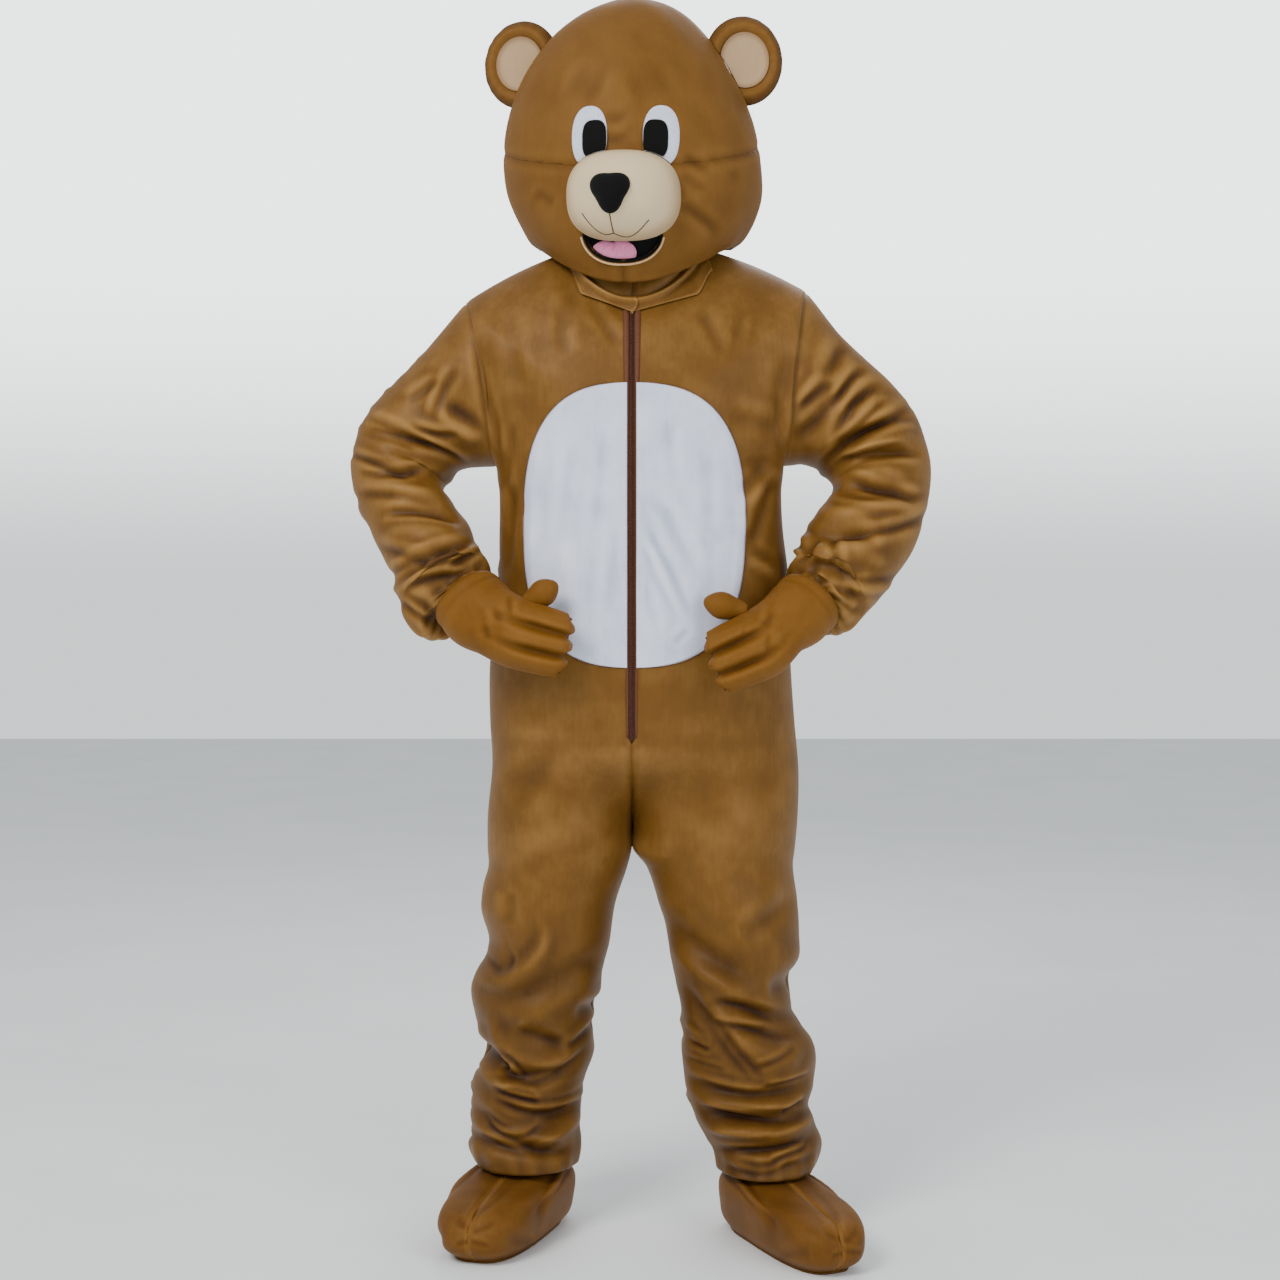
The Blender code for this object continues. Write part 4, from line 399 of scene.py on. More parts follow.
# Gathers on a sleeve's elastic: where each lies round the sleeve and its half width, in
# degrees from outward by way of the front, where along the sleeve it starts, and how
# high it stands.
GATHERS = (
    (8, 9, 0.80, 0.0030),
    (35, 7, 0.86, 0.0020),
    (52, 10, 0.82, 0.0035),
    (80, 8, 0.84, 0.0030),
    (101, 6, 0.87, 0.0020),
    (124, 10, 0.80, 0.0035),
    (150, 8, 0.85, 0.0030),
    (178, 9, 0.83, 0.0030),
    (205, 7, 0.86, 0.0020),
    (232, 10, 0.81, 0.0035),
    (262, 8, 0.84, 0.0030),
    (290, 9, 0.86, 0.0020),
    (318, 8, 0.82, 0.0030),
    (343, 7, 0.85, 0.0025),
)

# Each mitten's middle line from cuff to finger tips, half its breadth and half its
# thickness. Lobes is how deep the stitched lines between the three fingers sink.
MITTEN_COLUMNS = ("along", "x", "y", "z", "breadth", "thickness", "lobes")
MITTENS = {
    "left": Table(
        MITTEN_COLUMNS,
        (0, 260, -140, 964, 49, 46, 0), (150, 242, -158, 946, 52, 47, 0),
        (320, 216, -179, 928, 47, 41, 0), (500, 187, -197, 905, 52, 34, 150),
        (660, 161, -208, 893, 51, 31, 450), (820, 135, -214, 882, 49, 28, 500),
        (930, 119, -215, 875, 46, 21, 450), (1000, 111, -214, 872, 40, 0, 0),
    ),
    "right": Table(
        MITTEN_COLUMNS,
        (0, 242, -140, 969, 52, 46, 0), (150, 224, -158, 949, 57, 47, 0),
        (320, 198, -179, 934, 52, 41, 0), (500, 168, -197, 920, 52, 34, 150),
        (660, 140, -207, 912, 51, 31, 450), (820, 112, -213, 905, 49, 28, 500),
        (930, 94, -214, 901, 46, 21, 450), (1000, 85, -213, 899, 40, 0, 0),
    ),
}
FINGER_NOTCH = 0.010  # how far the finger tips round back to the lines between them
# Each thumb's root and tip.
THUMBS = {
    "left": (Vector((0.172, -0.190, 0.948)), Vector((0.1036, -0.205, 0.966))),
    "right": (Vector((0.160, -0.190, 0.955)), Vector((0.1070, -0.205, 0.991))),
}
THUMB_RADIUS = 0.019

# Level sections of a shoe cover: how far toe and heel reach from the ankle's axis.
SHOE = Table(
    ("height", "toe", "heel", "half"),
    (3.3, 214, 78, 62),
    (20, 238, 90, 78),
    (46, 242, 90, 85),
    (66, 226, 88, 88),
    (80, 184, 84, 85),
    (90, 108, 74, 70),
    (98, 64, 68, 57),
    (118, 60, 62, 48),
    (145, 56, 58, 42),
)
ANKLES = {"left": Vector((0.206, -0.041, 0)), "right": Vector((-0.169, 0.008, 0))}
FOOT_YAW = {"left": math.radians(22), "right": math.radians(-16.5)}
SHOE_WAIST = (0.88, 0.97)  # share of the half width at the heel and at the toe
TOE_BLUNTNESS = {"left": 0.58, "right": 0.76}  # 1 is a round toe, less a blunter one
SHOE_SPREAD = {"left": (0.865, 1.045), "right": (1.0, 1.0)}  # each one's breadth and length

# Level sections of the head, from crown to neck: half width, depth in front and behind,
# how far the section leans to the left, and how far its sides and back are raised, so
# that the neck's edge dips under the chin and clears the shoulders.
HEAD = Table(
    ("step", "height", "half", "front", "back", "lean", "sides", "rear"),
    (0, 1868, 0, 0, 0, 4, 0, 0),
    (1000, 1862, 37, 36, 38, 4, 0, 0),
    (2000, 1845, 75, 70, 74, 1, 0, 0),
    (3000, 1815, 112, 101, 106, -4, 0, 0),
    (4000, 1776, 143, 128, 132, -5, 0, 0),
    (5000, 1728, 169, 149, 152, -5, 0, 0),
    (6000, 1675, 187, 163, 165, -3, 2, 0),
    (7000, 1621, 195, 172, 170, 0, 6, 2),
    (8000, 1568, 194, 175, 166, 4, 12, 8),
    (9000, 1517, 182, 169, 154, 6, 24, 22),
    (10000, 1470, 164, 152, 138, 6, 38, 48),
    (11000, 1430, 146, 126, 124, 6, 63, 88),
)
HEAD_FOOT = 11  # the last step

# Soft features: centre across and up, half breadth and height, and squareness.
MUZZLE = {"centre": (0.002, 1.550), "half": (0.083, 0.064), "square": 2.5}
MUZZLE_REACH = 0.066
NOSE = {"centre": (-0.010, 1.548), "half": (0.0275, 0.0275), "square": 2.0}
NOSE_REACH = 0.014
NOSE_CORNERS = 0.144  # how far the nose's three corners stand out of its circle
EYE = {"centre": (0.0517, 1.636), "half": (0.0260, 0.045), "square": 2.3}
PUPIL = {"centre": (0.0435, 1.6305), "half": (0.0175, 0.028), "square": 3.0}
EYES_SHIFT = 0.005  # the eyes sit that far to the left of the head's middle
EYE_RISE, PUPIL_RISE = 0.0028, 0.0012
MOUTH = {"centre": (0.000, 1.507), "half": (0.060, 0.051), "square": 2.3}
MOUTH_TOP = 1.508  # the muzzle hides what is above
TONGUE = {"centre": (-0.0156, 1.467), "half": (0.036, 0.020), "square": 2.2}
TONGUE_NOTCH = 0.22
TONGUE_RISE = 0.006
LIP_RADIUS = 0.0025
EAR_CENTRE = (0.168, 0.004, 1.774)
EAR_TURN = 14  # degrees that an ear's front looks inward
EARS = {"left": (0.060, 0.067), "right": (0.061, 0.066)}  # half breadth and height
EAR_BACK = 0.012
EAR_INNER = 0.62  # share of the ear that its pale lining covers

# The belly's outline: the height of its widest place, its reach to each side of the
# zip and above and below, and its squareness.
BELLY = {"centre": 1.075, "left": 0.166, "right": 0.159, "up": 0.207, "down": 0.207, "square": 2.7}


# Hollows and ridges in the head's padding, in front elevation.
HEAD_FOLDS = (
    (-85, 1724, -25, 1704, 6, 26, -4), (4, 1700, 72, 1724, 6, 26, -4),
    (-30, 1668, 10, 1668, -4, 8, -1.5), (-30, 1652, 12, 1652, -6, 8, 1),
    (-28, 1636, 10, 1636, -6, 7, -1.5), (88, 1612, 126, 1586, 0, 7, -2),
    (84, 1584, 120, 1558, 0, 7, -1.5), (82, 1540, 140, 1500, 4, 10, -4),
    (-140, 1560, -100, 1540, 4, 10, -3), (150, 1588, 172, 1586, 0, 10, -1),
)


# ------------------------------------------------------------------ numbers and noise


def lerp(a, b, t):
    """From a to b as t runs from 0 to 1."""
    return a + (b - a) * t


def smooth(t):
    """Eases from 0 to 1 as t runs from 0 to 1, and holds beyond them."""
    t = np.clip(t, 0.0, 1.0)
    return t * t * (3 - 2 * t)


def bell(distance, width):
    """1 at no distance, and down to 0 over about twice the width."""
    return np.exp(-((distance / width) ** 2))


def power(value, exponent):
    """A power that keeps the value's sign."""
    return np.sign(value) * np.abs(value) ** exponent


def spots(x, y, z):
    """An array of places from three arrays of coordinates."""
    return np.stack(np.broadcast_arrays(x, y, z), axis=-1).astype(float)


def unit(arrows):
    """The arrows at length 1."""
    length = np.linalg.norm(arrows, axis=-1, keepdims=True)
    return arrows / np.maximum(length, 1e-9)


def runs(*legs):
    """Values through several stretches, each given as (end, steps), from 0."""
    values = [np.zeros(1)]
    for end, count in legs:
        values.append(np.linspace(values[-1][-1], end, count + 1)[1:])
    return np.concatenate(values)


def ruck(x, y, seed):
    """Smooth noise at each place, about -0.5 to 0.5."""
    flat = zip(*(a.ravel() for a in np.broadcast_arrays(x, y)))
    values = [noise.noise(Vector((a, b, seed))) for a, b in flat]
    return np.array(values).reshape(np.broadcast(x, y).shape)


def grid_normals(places, closed=False):
    """Unit normals of a grid of places, that point away from the middles of its rows."""
    down = np.gradient(places, axis=0)
    if closed:
        ring = np.concatenate((places[:, -1:], places, places[:, :1]), axis=1)
        along = (ring[:, 2:] - ring[:, :-2]) / 2
    else:
        along = np.gradient(places, axis=1)
    normals = unit(np.cross(down, along))
    away = places - places.mean(axis=1, keepdims=True)
    return normals if (normals * away).sum() > 0 else -normals


def share_normals(sheets):
    """Gives the places that pieces share at a seam one normal, so that they meet."""
    sums = {}
    for sheet in sheets:
        for edge in sheet.edges():
            for i, j in edge:
                key = tuple(np.round(sheet.places[i, j], 5))
                sums[key] = sums.get(key, 0) + sheet.normals[i, j]
    for sheet in sheets:
        for edge in sheet.edges():
            for i, j in edge:
                shared = Vector(sums[tuple(np.round(sheet.places[i, j], 5))])
                if shared.length > 0.25:
                    sheet.normals[i, j] = shared.normalized()


def press(folds, x, z, stretch=1.0, lip=0.0):
    """How far the folds push a wall out, at places of the elevation. A lip stands beside
    each one, the other way, as loose cloth does, and stretch makes each one longer."""
    push = np.zeros(np.broadcast(x, z).shape)
    for fold in folds:
        x0, z0, x1, z1, bow, width, depth = (size / 1000 for size in fold)
        run_x, run_z = x1 - x0, z1 - z0
        length = math.hypot(run_x, run_z)
        share = (2 * ((x - x0) * run_x + (z - z0) * run_z) / length**2 - 1) / stretch
        off = ((z - z0) * run_x - (x - x0) * run_z) / length
        across = (off - bow * (1 - share**2)) / width
        near = np.abs(share) < 1
        fade = np.where(near, (1 - share**4) ** 2, 0.0)
        beside = lip * np.exp(-np.minimum((across - 1.9) ** 2, 60))
        push += depth * fade * (np.exp(-np.minimum(across**2, 60)) - beside)
    return push


# --------------------------------------------------------------------------- the form


def armhole(part, face, side):
    """The armhole's edge: part runs 0 to 1 from the shoulder tip to the armpit."""
    _, tip, middle, foot = SHOULDERS[side]
    turn = math.pi * part
    bulge = middle - (tip[0] + foot) / 2
    x = lerp(tip[0], foot, part) + bulge * np.sin(turn)
    z = lerp(tip[2], ARMPIT, (1 - np.cos(turn)) / 2)
    section = BODY.at(ARMPIT)
    armpit = (section["back"] - section["front"]) / 2
    return spots(x, lerp(tip[1], armpit, part) + face * ARMHOLE_DEPTH * np.sin(turn), z)


def panel_edge(v, face, side):
    """The outer edge of a panel: shoulder seam to 1, armhole to 2, then side seam."""
    neck, tip, _, foot = SHOULDERS[side]
    seam = lerp(neck, tip, v[..., None])
    seam[..., 2] += SHOULDER_CROWN * np.sin(math.pi * np.clip(v, 0, 1))
    hole = armhole(np.clip(v - 1, 0, 1), face, side)
    height = lerp(ARMPIT, CROTCH, v - 2)
    section = BODY.at(height)
    width = lerp(section[side], foot, smooth((2.35 - v) / 0.35))
    flank = spots(width, (section["back"] - section["front"]) / 2, height)
    below = np.where(v[..., None] <= 2, hole, flank)
    return np.where(v[..., None] <= 1, seam, below)


def centre_height(v, face):
    """The height of a panel's centre line: the neck at 0, the armpit at 2, the crotch at 3."""
    neck = NECK_FRONT if face < 0 else NECK_BACK
    return np.where(v <= 2, lerp(neck, ARMPIT, v / 2), lerp(ARMPIT, CROTCH, v - 2))


def body_point(v, u, face, side):
    """Places on the suit above the crotch, u from the centre to the outer edge."""
    edge = panel_edge(v, face, side)
    height = centre_height(v, face)
    start = ZIP_SLOT * smooth((height - ZIP_BOTTOM) / ZIP_END) if face < 0 else 0.0
    turn = math.pi / 2 * u
    sine = np.sin(turn) ** 0.92
    cosine = np.maximum(np.cos(turn), 0.0) ** 0.88
    z = lerp(height, edge[..., 2], sine**2)
    below = smooth((v - CHEST_TOP) / (CHEST_FOOT - CHEST_TOP))
    section = BODY.at(lerp(height, z, below))
    depth = -section["front"] if face < 0 else section["back"]
    free = below * (1 - smooth((u - CHEST_WIDTH) / (1 - CHEST_WIDTH)))
    seam = (section["back"] - section["front"]) / 2
    x = lerp(start, lerp(edge[..., 0], section[side], free), sine)
    return spots(x, lerp(lerp(edge[..., 1], seam, free), depth, cosine), z)


def leg_ring(height, facing, side):
    """Places round one leg, facing in degrees from the inseam by way of the front."""
    section = LEGS[side].at(height)
    turn = np.radians(facing)
    centre = (section["outer"] + section["inner"]) / 2
    half = (section["outer"] - section["inner"]) / 2
    seam = (section["back"] - section["front"]) / 2
    depth = (section["back"] + section["front"]) / 2
    return spots(centre - np.cos(turn) * half, seam - np.sin(turn) * depth, height)


def suit_point(v, u, face, side):
    """Places on the suit: v is 0 at the neck, 2 at the armpit, 3 at the crotch and 4 at
    the hem; u is 0 at the centre or inseam and 1 at the shoulder or side seam."""
    v, u = np.broadcast_arrays(np.asarray(v, float), u)
    facing = 180 * u if face < 0 else 360 - 180 * u
    height = lerp(ARMPIT, CROTCH, np.minimum(v, 3) - 2)
    parted = smooth((CROTCH + CLEFT_RISE - height) / CLEFT_RISE)
    low = np.where(v < 3, height, lerp(CROTCH, HEM, v - 3))
    leg = leg_ring(np.minimum(low, 0.79), facing, side)
    leg[..., 2] = low
    behind = np.maximum(-np.sin(np.radians(facing)), 0)
    leg[..., 2] -= HEM_DROP * smooth(v - 3) * behind
    return lerp(body_point(np.minimum(v, 3), u, face, side), leg, parted[..., None])


def sleeve_point(along, facing, side):
    """Places round the sleeve, facing in degrees from outward by way of the front."""
    along, facing = np.broadcast_arrays(along, facing)
    table = ARMS[side]
    near, here, far = (table.at(np.clip(along + step, 0, 1)) for step in (-0.10, 0, 0.10))
    middles = [
        spots(at["outer_x"] + at["inner_x"], 2 * at["y"], at["outer_z"] + at["inner_z"]) / 2
        for at in (near, here, far)
    ]
    out = spots(here["outer_x"], here["y"], here["outer_z"]) - middles[1]
    front = unit(np.cross(middles[2] - middles[0], out)) * here["depth"][..., None]
    turn = np.radians(facing)[..., None]
    place = middles[1] + out * np.cos(turn) + front * np.sin(turn)
    part = np.where(facing <= 180, facing / 180, 2 - facing / 180)
    hole = armhole(part, np.where(facing <= 180, -1, 1), side)
    return lerp(hole, place, smooth(2 * along / ELBOW)[..., None])


def mitten_point(along, breadth, face, side):
    """Places on a mitten: breadth is 1 at its upper seam and -1 at its lower one, face is
    1 on the back of the hand and -1 on the palm."""
    along, breadth = np.broadcast_arrays(np.asarray(along, float), breadth)
    table = MITTENS[side]
    here = table.at(along)
    near, far = table.at(np.maximum(along - 0.03, 0)), table.at(np.minimum(along + 0.03, 1))
    run = unit(spots(*(far[axis] - near[axis] for axis in "xyz")))
    front = np.zeros_like(run)
    front[..., 1] = -1
    front = unit(front - run * (front * run).sum(axis=-1, keepdims=True))
    up = np.cross(front, run)
    line = np.abs(np.sin(1.5 * math.pi * breadth)) ** 4 * (1 - np.abs(breadth) ** 6)
    crown = np.sqrt(np.maximum(1 - np.abs(breadth) ** 2.2, 0.0))
    body = face * crown * here["thickness"]
    if face > 0:
        body = body * (1 - here["lobes"] * line)
    tip = smooth((along - 0.85) / 0.15) * FINGER_NOTCH * (line + np.abs(breadth) ** 4)
    centre = spots(here["x"], here["y"], here["z"])
    across = breadth * here["breadth"]
    place = centre + up * across[..., None] + front * body[..., None]
    return place - run * tip[..., None]


def shoe_point(height, turn, side):
    """Places on a shoe cover before it is turned: 0 is the toe, 180 the heel."""
    height, turn = np.broadcast_arrays(height, turn)
    breadth, length = SHOE_SPREAD[side]
    section = SHOE.at(height)
    angle = np.radians(turn)
    cosine, sine = np.cos(angle), np.maximum(np.sin(angle), 0)
    toward = np.abs(cosine)
    toe = -section["toe"] * toward ** TOE_BLUNTNESS[side]
    y = np.where(cosine > 0, toe, section["heel"] * toward)
    x = np.where(cosine > 0, sine**0.62, sine**0.85)
    waist = lerp(*SHOE_WAIST, (cosine + 1) / 2)
    return spots(x * section["half"] * waist * breadth, y * length, height)


def head_point(step, facing, offset=0.0):
    """Places on the head: step 0 is the crown, facing is in degrees from the front."""
    step, facing = np.broadcast_arrays(np.asarray(step, float), facing)
    section = HEAD.at(step)
    turn = np.radians(facing)
    sine, cosine = np.sin(turn), np.cos(turn)
    depth = np.where(cosine > 0, section["front"], section["back"])
    raised = section["sides"] * sine**2 + section["rear"] * np.minimum(cosine, 0) ** 2
    x = section["lean"] + sine * section["half"]
    place = spots(x, -cosine * depth, section["height"] + raised)
    if np.ndim(offset) == 0 and offset == 0.0:
        return place
    near = head_point(np.maximum(step - 0.05, 0), facing)
    far = head_point(np.minimum(step + 0.05, HEAD_FOOT), facing)
    beside = head_point(step, facing + 1) - head_point(step, facing - 1)
    normal = unit(np.cross(far - near, beside))
    normal[step < 0.02] = (0, 0, 1)
    return place + normal * np.asarray(offset)[..., None]


def head_step(share):
    """The step at a share of the way from the crown to the foot, closer together below."""
    return HEAD_FOOT * share**0.9


def search(surface, x, height, down, across, passes):
    """A surface's two coordinates at those distances across and heights. Each pass steps
    by what is missed. Down and across give the start, the gain and the two limits."""
    x, height = np.broadcast_arrays(np.asarray(x, float), height)
    (start, fall, *steps), (middle, turn, *sides) = down, across
    v, u = np.full(x.shape, start), np.full(x.shape, middle)
    for _ in range(passes):
        place = surface(v, u)
        v = np.clip(v + (place[..., 2] - height) * fall, *steps)
        u = np.clip(u + (x - place[..., 0]) * turn, *sides)
    return v, u


def head_face(x, height, offset=0.0):
    """The head's front at those distances across and heights, moved out by offset."""
    down, across = (7.0, 12, 0.5, HEAD_FOOT), (0.0, 260, -85, 85)
    return head_point(*search(head_point, x, height, down, across, 60), offset)


def suit_face(x, height, side):
    """The front panel at those distances from the zip and heights."""

    def panel(v, u):
        """Places on that side's front."""
        return suit_point(v, u, -1, side)

    return panel(*search(panel, x, height, (2.0, 2.5, 0.05, 3.0), (0.4, 1.8, 0.0, 1.0), 80))


def outline(shape, angle):
    """A feature's outline round its centre, as distances."""
    half_x, half_z = shape["half"]
    square = shape["square"]
    across = np.abs(np.cos(angle) / half_x) ** square
    upward = np.abs(np.sin(angle) / half_z) ** square
    return (across + upward) ** (-1 / square)


def inside(shape, x, z, margin=0.0):
    """Whether places of the elevation lie in a feature's outline, widened by the margin."""
    dx, dz = x - shape["centre"][0], z - shape["centre"][1]
    return np.hypot(dx, dz) < outline(shape, np.arctan2(dz, dx)) + margin


def draw_in(allowed, centre, reach, angle):
    """Outline distances at those angles, drawn in until each place is allowed."""
    reach = np.array(np.broadcast_to(reach, np.shape(angle)), float)
    for _ in range(260):
        x, z = centre[0] + reach * np.cos(angle), centre[1] + reach * np.sin(angle)
        wrong = ~allowed(x, z) & (reach > 0.002)
        if not wrong.any():
            break
        reach = np.where(wrong, reach - 0.0003, reach)
    return reach


# ------------------------------------------------------------------ making the pieces


class Cloth:
    """A piece of cloth as a grid of places on its outer face, with the unit normal there
    and the shade and highlight painted on it: darker to -1 where it lies in a crease,
    lighter to 1 where it stands on a ridge."""

    def __init__(self, name, places, coat, wall, closed=False):
        self.name, self.places, self.coat, self.wall = name, places, coat, wall
        self.closed = closed
        self.normals = grid_normals(places, closed)
        self.shade_and_highlight = np.zeros(places.shape[:2])

    def edges(self):
        """The places along each of its edges, as rows and columns."""
        rows, across = self.places.shape[:2]
        yield [(0, j) for j in range(across)]
        yield [(rows - 1, j) for j in range(across)]
        if not self.closed:
            yield [(i, 0) for i in range(1, rows - 1)]
            yield [(i, across - 1) for i in range(1, rows - 1)]

    def reach(self, axis):
        """How far each place lies from the grid's start, measured on the cloth."""
        step = np.linalg.norm(np.diff(self.places, axis=axis), axis=-1)
        zero = np.zeros_like(np.take(step, [0], axis=axis))
        return np.concatenate((zero, np.cumsum(step, axis=axis)), axis=axis)

    def push(self, amount):
        """Moves the places out along their normals."""
        self.places = self.places + self.normals * amount[..., None]

    def hollows(self, span=0.010):
        """How deep each place lies in a crease, -1, or stands on a ridge, 1, as judged
        over that distance."""
        total = np.zeros(self.places.shape[:2])
        for axis in (0, 1):
            step = np.linalg.norm(np.diff(self.places, axis=axis), axis=-1).mean()
            k = max(int(round(span / step)), 1)
            wide = [(0, 0), (0, 0), (0, 0)]
            wide[axis] = (k, k)
            mode = "wrap" if axis == 1 and self.closed else "edge"
            padded = np.pad(self.places, wide, mode=mode)
            before = np.take(padded, range(self.places.shape[axis]), axis=axis)
            after = np.take(padded, range(2 * k, 2 * k + self.places.shape[axis]), axis=axis)
            bend = (self.places - (before + after) / 2) / (k * step)
            bend = (bend * self.normals).sum(axis=-1)
            edge = np.ones(self.places.shape[axis])
            if mode == "edge":
                edge[:k] = edge[-k:] = 0
            total += bend * (edge[:, None] if axis == 0 else edge[None, :])
        return np.tanh(total / 0.75)

    def settle(self):
        """Takes the normals of the places as they now lie."""
        self.normals = grid_normals(self.places, self.closed)

    def build(self):
        """The piece as a mesh: a flat grid whose points are laid on their places."""
        rows = len(self.places)
        if self.closed:
            places = np.concatenate((self.places, self.places[:, :1]), axis=1)
            shade_and_highlight = np.concatenate((self.shade_and_highlight, self.shade_and_highlight[:, :1]), axis=1)
        else:
            places, shade_and_highlight = self.places, self.shade_and_highlight
        wide = places.shape[1]
        bm = bmesh.new()
        bm.loops.layers.uv.new("cloth")
        # The crease attribute carries the painted shade in the creases and the painted highlight on
        # the ridges.
        depth = bm.verts.layers.float.new("crease")
        bmesh.ops.create_grid(
            bm, x_segments=wide - 1, y_segments=rows - 1, size=0.5, calc_uvs=True
        )
        for vert in bm.verts:
            j = round((vert.co.x + 0.5) * (wide - 1))
            i = round((0.5 - vert.co.y) * (rows - 1))
            vert.co = places[i, j] - (0, 0, CARRY)
            vert[depth] = shade_and_highlight[i, j]
        bmesh.ops.remove_doubles(bm, verts=bm.verts, dist=WELD)
        middle = Vector(places[rows // 2, wide // 3]) - DOWN
        nearest = min(bm.faces, key=lambda face: (face.calc_center_median() - middle).length)
        nearest.normal_update()
        if nearest.normal.dot(Vector(self.normals[rows // 2, wide // 3])) < 0:
            bmesh.ops.reverse_faces(bm, faces=bm.faces)
        return bm


def finish_piece(name, bm, coat, nodes, turn=None, wall=0.0):
    """Turns a bmesh into a piece with that finish, that stands for those nodes."""
    if turn is not None:
        down = Matrix.Translation((0, 0, -CARRY))
        bmesh.ops.transform(bm, matrix=down @ turn @ down.inverted(), verts=bm.verts)
    mesh = bpy.data.meshes.new(name)
    bm.to_mesh(mesh)
    bm.free()
    mesh.shade_smooth()
    mesh.materials.append(finish(coat))
    piece = bpy.data.objects.new(name, mesh)
    bpy.context.scene.collection.objects.link(piece)
    if wall:
        solidify = piece.modifiers.new("Wall", "SOLIDIFY")
        solidify.thickness = wall
        solidify.offset = -1
        solidify.use_even_offset = False
    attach(piece, "root")
    if nodes:
        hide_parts(*nodes)
    return piece


def mirror(bm, sign):
    """Mirrors a piece that is made on the wearer's left, when sign is -1."""
    if sign < 0:
        bmesh.ops.scale(bm, vec=(-1, 1, 1), verts=bm.verts)
        bmesh.ops.reverse_faces(bm, faces=bm.faces)


def sew(cloth, sign, nodes=(), turn=None):
    """The finished piece of a cloth, mirrored when sign is -1."""
    bm = cloth.build()
    mirror(bm, sign)
    return finish_piece(cloth.name, bm, cloth.coat, nodes, turn, cloth.wall)


def bake(piece):
    """Applies a piece's modifiers to its mesh."""
    graph = bpy.context.evaluated_depsgraph_get()
    mesh = bpy.data.meshes.new_from_object(piece.evaluated_get(graph))
    piece.modifiers.clear()
    piece.data = mesh


def thread_piece(name, lines, radius, coat, sides, turn=None):
    """Threads or cords as round tubes along lines of places. The radius is one size or,
    for a tapered cord, one for each place."""
    bm = bmesh.new()
    for line in lines:
        line = [Vector(place) - DOWN for place in line]
        rings = []
        sizes_along = np.broadcast_to(radius, len(line))
        for k, place in enumerate(line):
            run = (line[min(k + 1, len(line) - 1)] - line[max(k - 1, 0)]).normalized()
            spin = run.to_track_quat("Z", "Y").to_matrix().to_4x4()
            matrix = Matrix.Translation(place) @ spin
            thick = float(sizes_along[k])
            made = bmesh.ops.create_circle(bm, segments=sides, radius=thick, matrix=matrix)
            rings.append(made["verts"])
        for low, high in zip(rings, rings[1:]):
            start = min(range(sides), key=lambda s: (high[s].co - low[0].co).length)
            high[:] = high[start:] + high[:start]
            for k in range(sides):
                m = (k + 1) % sides
                bm.faces.new((low[k], low[m], high[m], high[k]))
        for ring in (rings[0], rings[-1]):
            bm.faces.new(ring)
    bmesh.ops.recalc_face_normals(bm, faces=bm.faces)
    return finish_piece(name, bm, coat, (), turn)


def dome(rise, square):
    """A pad's profile: a dome of that rise, flatter on top the more square it is."""
    return lambda share, angle: rise * (1 - np.minimum(share, 1) ** square) ** 0.5 + SEAM_GAP


def pad_piece(name, centre, edge, base, profile, coat, node, grid=(96, 48)):
    """A closed padded piece on the head: a globe whose front is laid on base(x, z, rise)
    at the heights that profile(share, angle) gives, and whose back is laid flat."""
    bm = bmesh.new()
    depth = bm.verts.layers.float.new("crease")
    bmesh.ops.create_uvsphere(bm, u_segments=grid[0], v_segments=grid[1], radius=1.0)
    at = np.array([vert.co for vert in bm.verts])
    share = np.minimum(np.hypot(at[:, 0], at[:, 1]), 1.0)
    angle = np.arctan2(at[:, 1], at[:, 0])
    reach = edge(angle) * share
    x, z = centre[0] + reach * np.cos(angle), centre[1] + reach * np.sin(angle)
    front = at[:, 2] >= -1e-6
    rise = np.where(front, profile(share, angle), 0.0)
    places = base(x, z, rise)
    # Each pad is painted a little lighter over its face, and darker toward its edge as painted
    # shade where it meets what it lies on.
    for vert, place, near in zip(bm.verts, places, share):
        vert.co = Vector(place) - DOWN
        vert[depth] = 0.25 - 0.9 * max(float(near) - 0.8, 0) / 0.2
    bmesh.ops.recalc_face_normals(bm, faces=bm.faces)
    return finish_piece(name, bm, coat, [node], HEAD_TURN)


# -------------------------------------------------------------------------- finishes


def linear(code):
    """A linear colour from an sRGB hex code."""
    parts = [int(code[k : k + 2], 16) / 255 for k in (0, 2, 4)]
    return [p / 12.92 if p <= 0.04045 else ((p + 0.055) / 1.055) ** 2.4 for p in parts] + [1.0]


def feed(tree, node, inputs):
    """Sets a node's inputs, or links those that are given as another node's socket."""
    for name, value in inputs.items():
        if isinstance(value, bpy.types.NodeSocket):
            tree.links.new(value, node.inputs[name])
        else:
            node.inputs[name].default_value = value


def add_node(tree, kind, inputs=(), stops=(), **settings):
    """Adds a node with its settings, its inputs, and a ramp's stops as (place, code)."""
    made = tree.nodes.new("ShaderNode" + kind)
    for name, value in settings.items():
        setattr(made, name, value)
    feed(tree, made, dict(inputs))
    for k, (place, code) in enumerate(stops):
        ramp = made.color_ramp.elements
        if k >= len(ramp):
            ramp.new(place)
        ramp[k].position, ramp[k].color = place, linear(code)
    return made


def blank(name):
    """A new material: its node tree, its shader node, and places on the piece."""
    made = bpy.data.materials.new(name)
    made.use_nodes = True
    tree = made.node_tree
    place = add_node(tree, "TexCoord").outputs["Object"]
    return made, tree, tree.nodes["Principled BSDF"], place


def blend(tree, value, share, rest):
    """A share of a value added to the rest."""
    inputs = {0: value, 1: share, 2: rest}
    return add_node(tree, "Math", inputs, operation="MULTIPLY_ADD").outputs[0]


def grain(tree, kind, inputs, **settings):
    """A texture's value, about 0 to 1."""
    return add_node(tree, "Tex" + kind, inputs, **settings).outputs["Fac"]


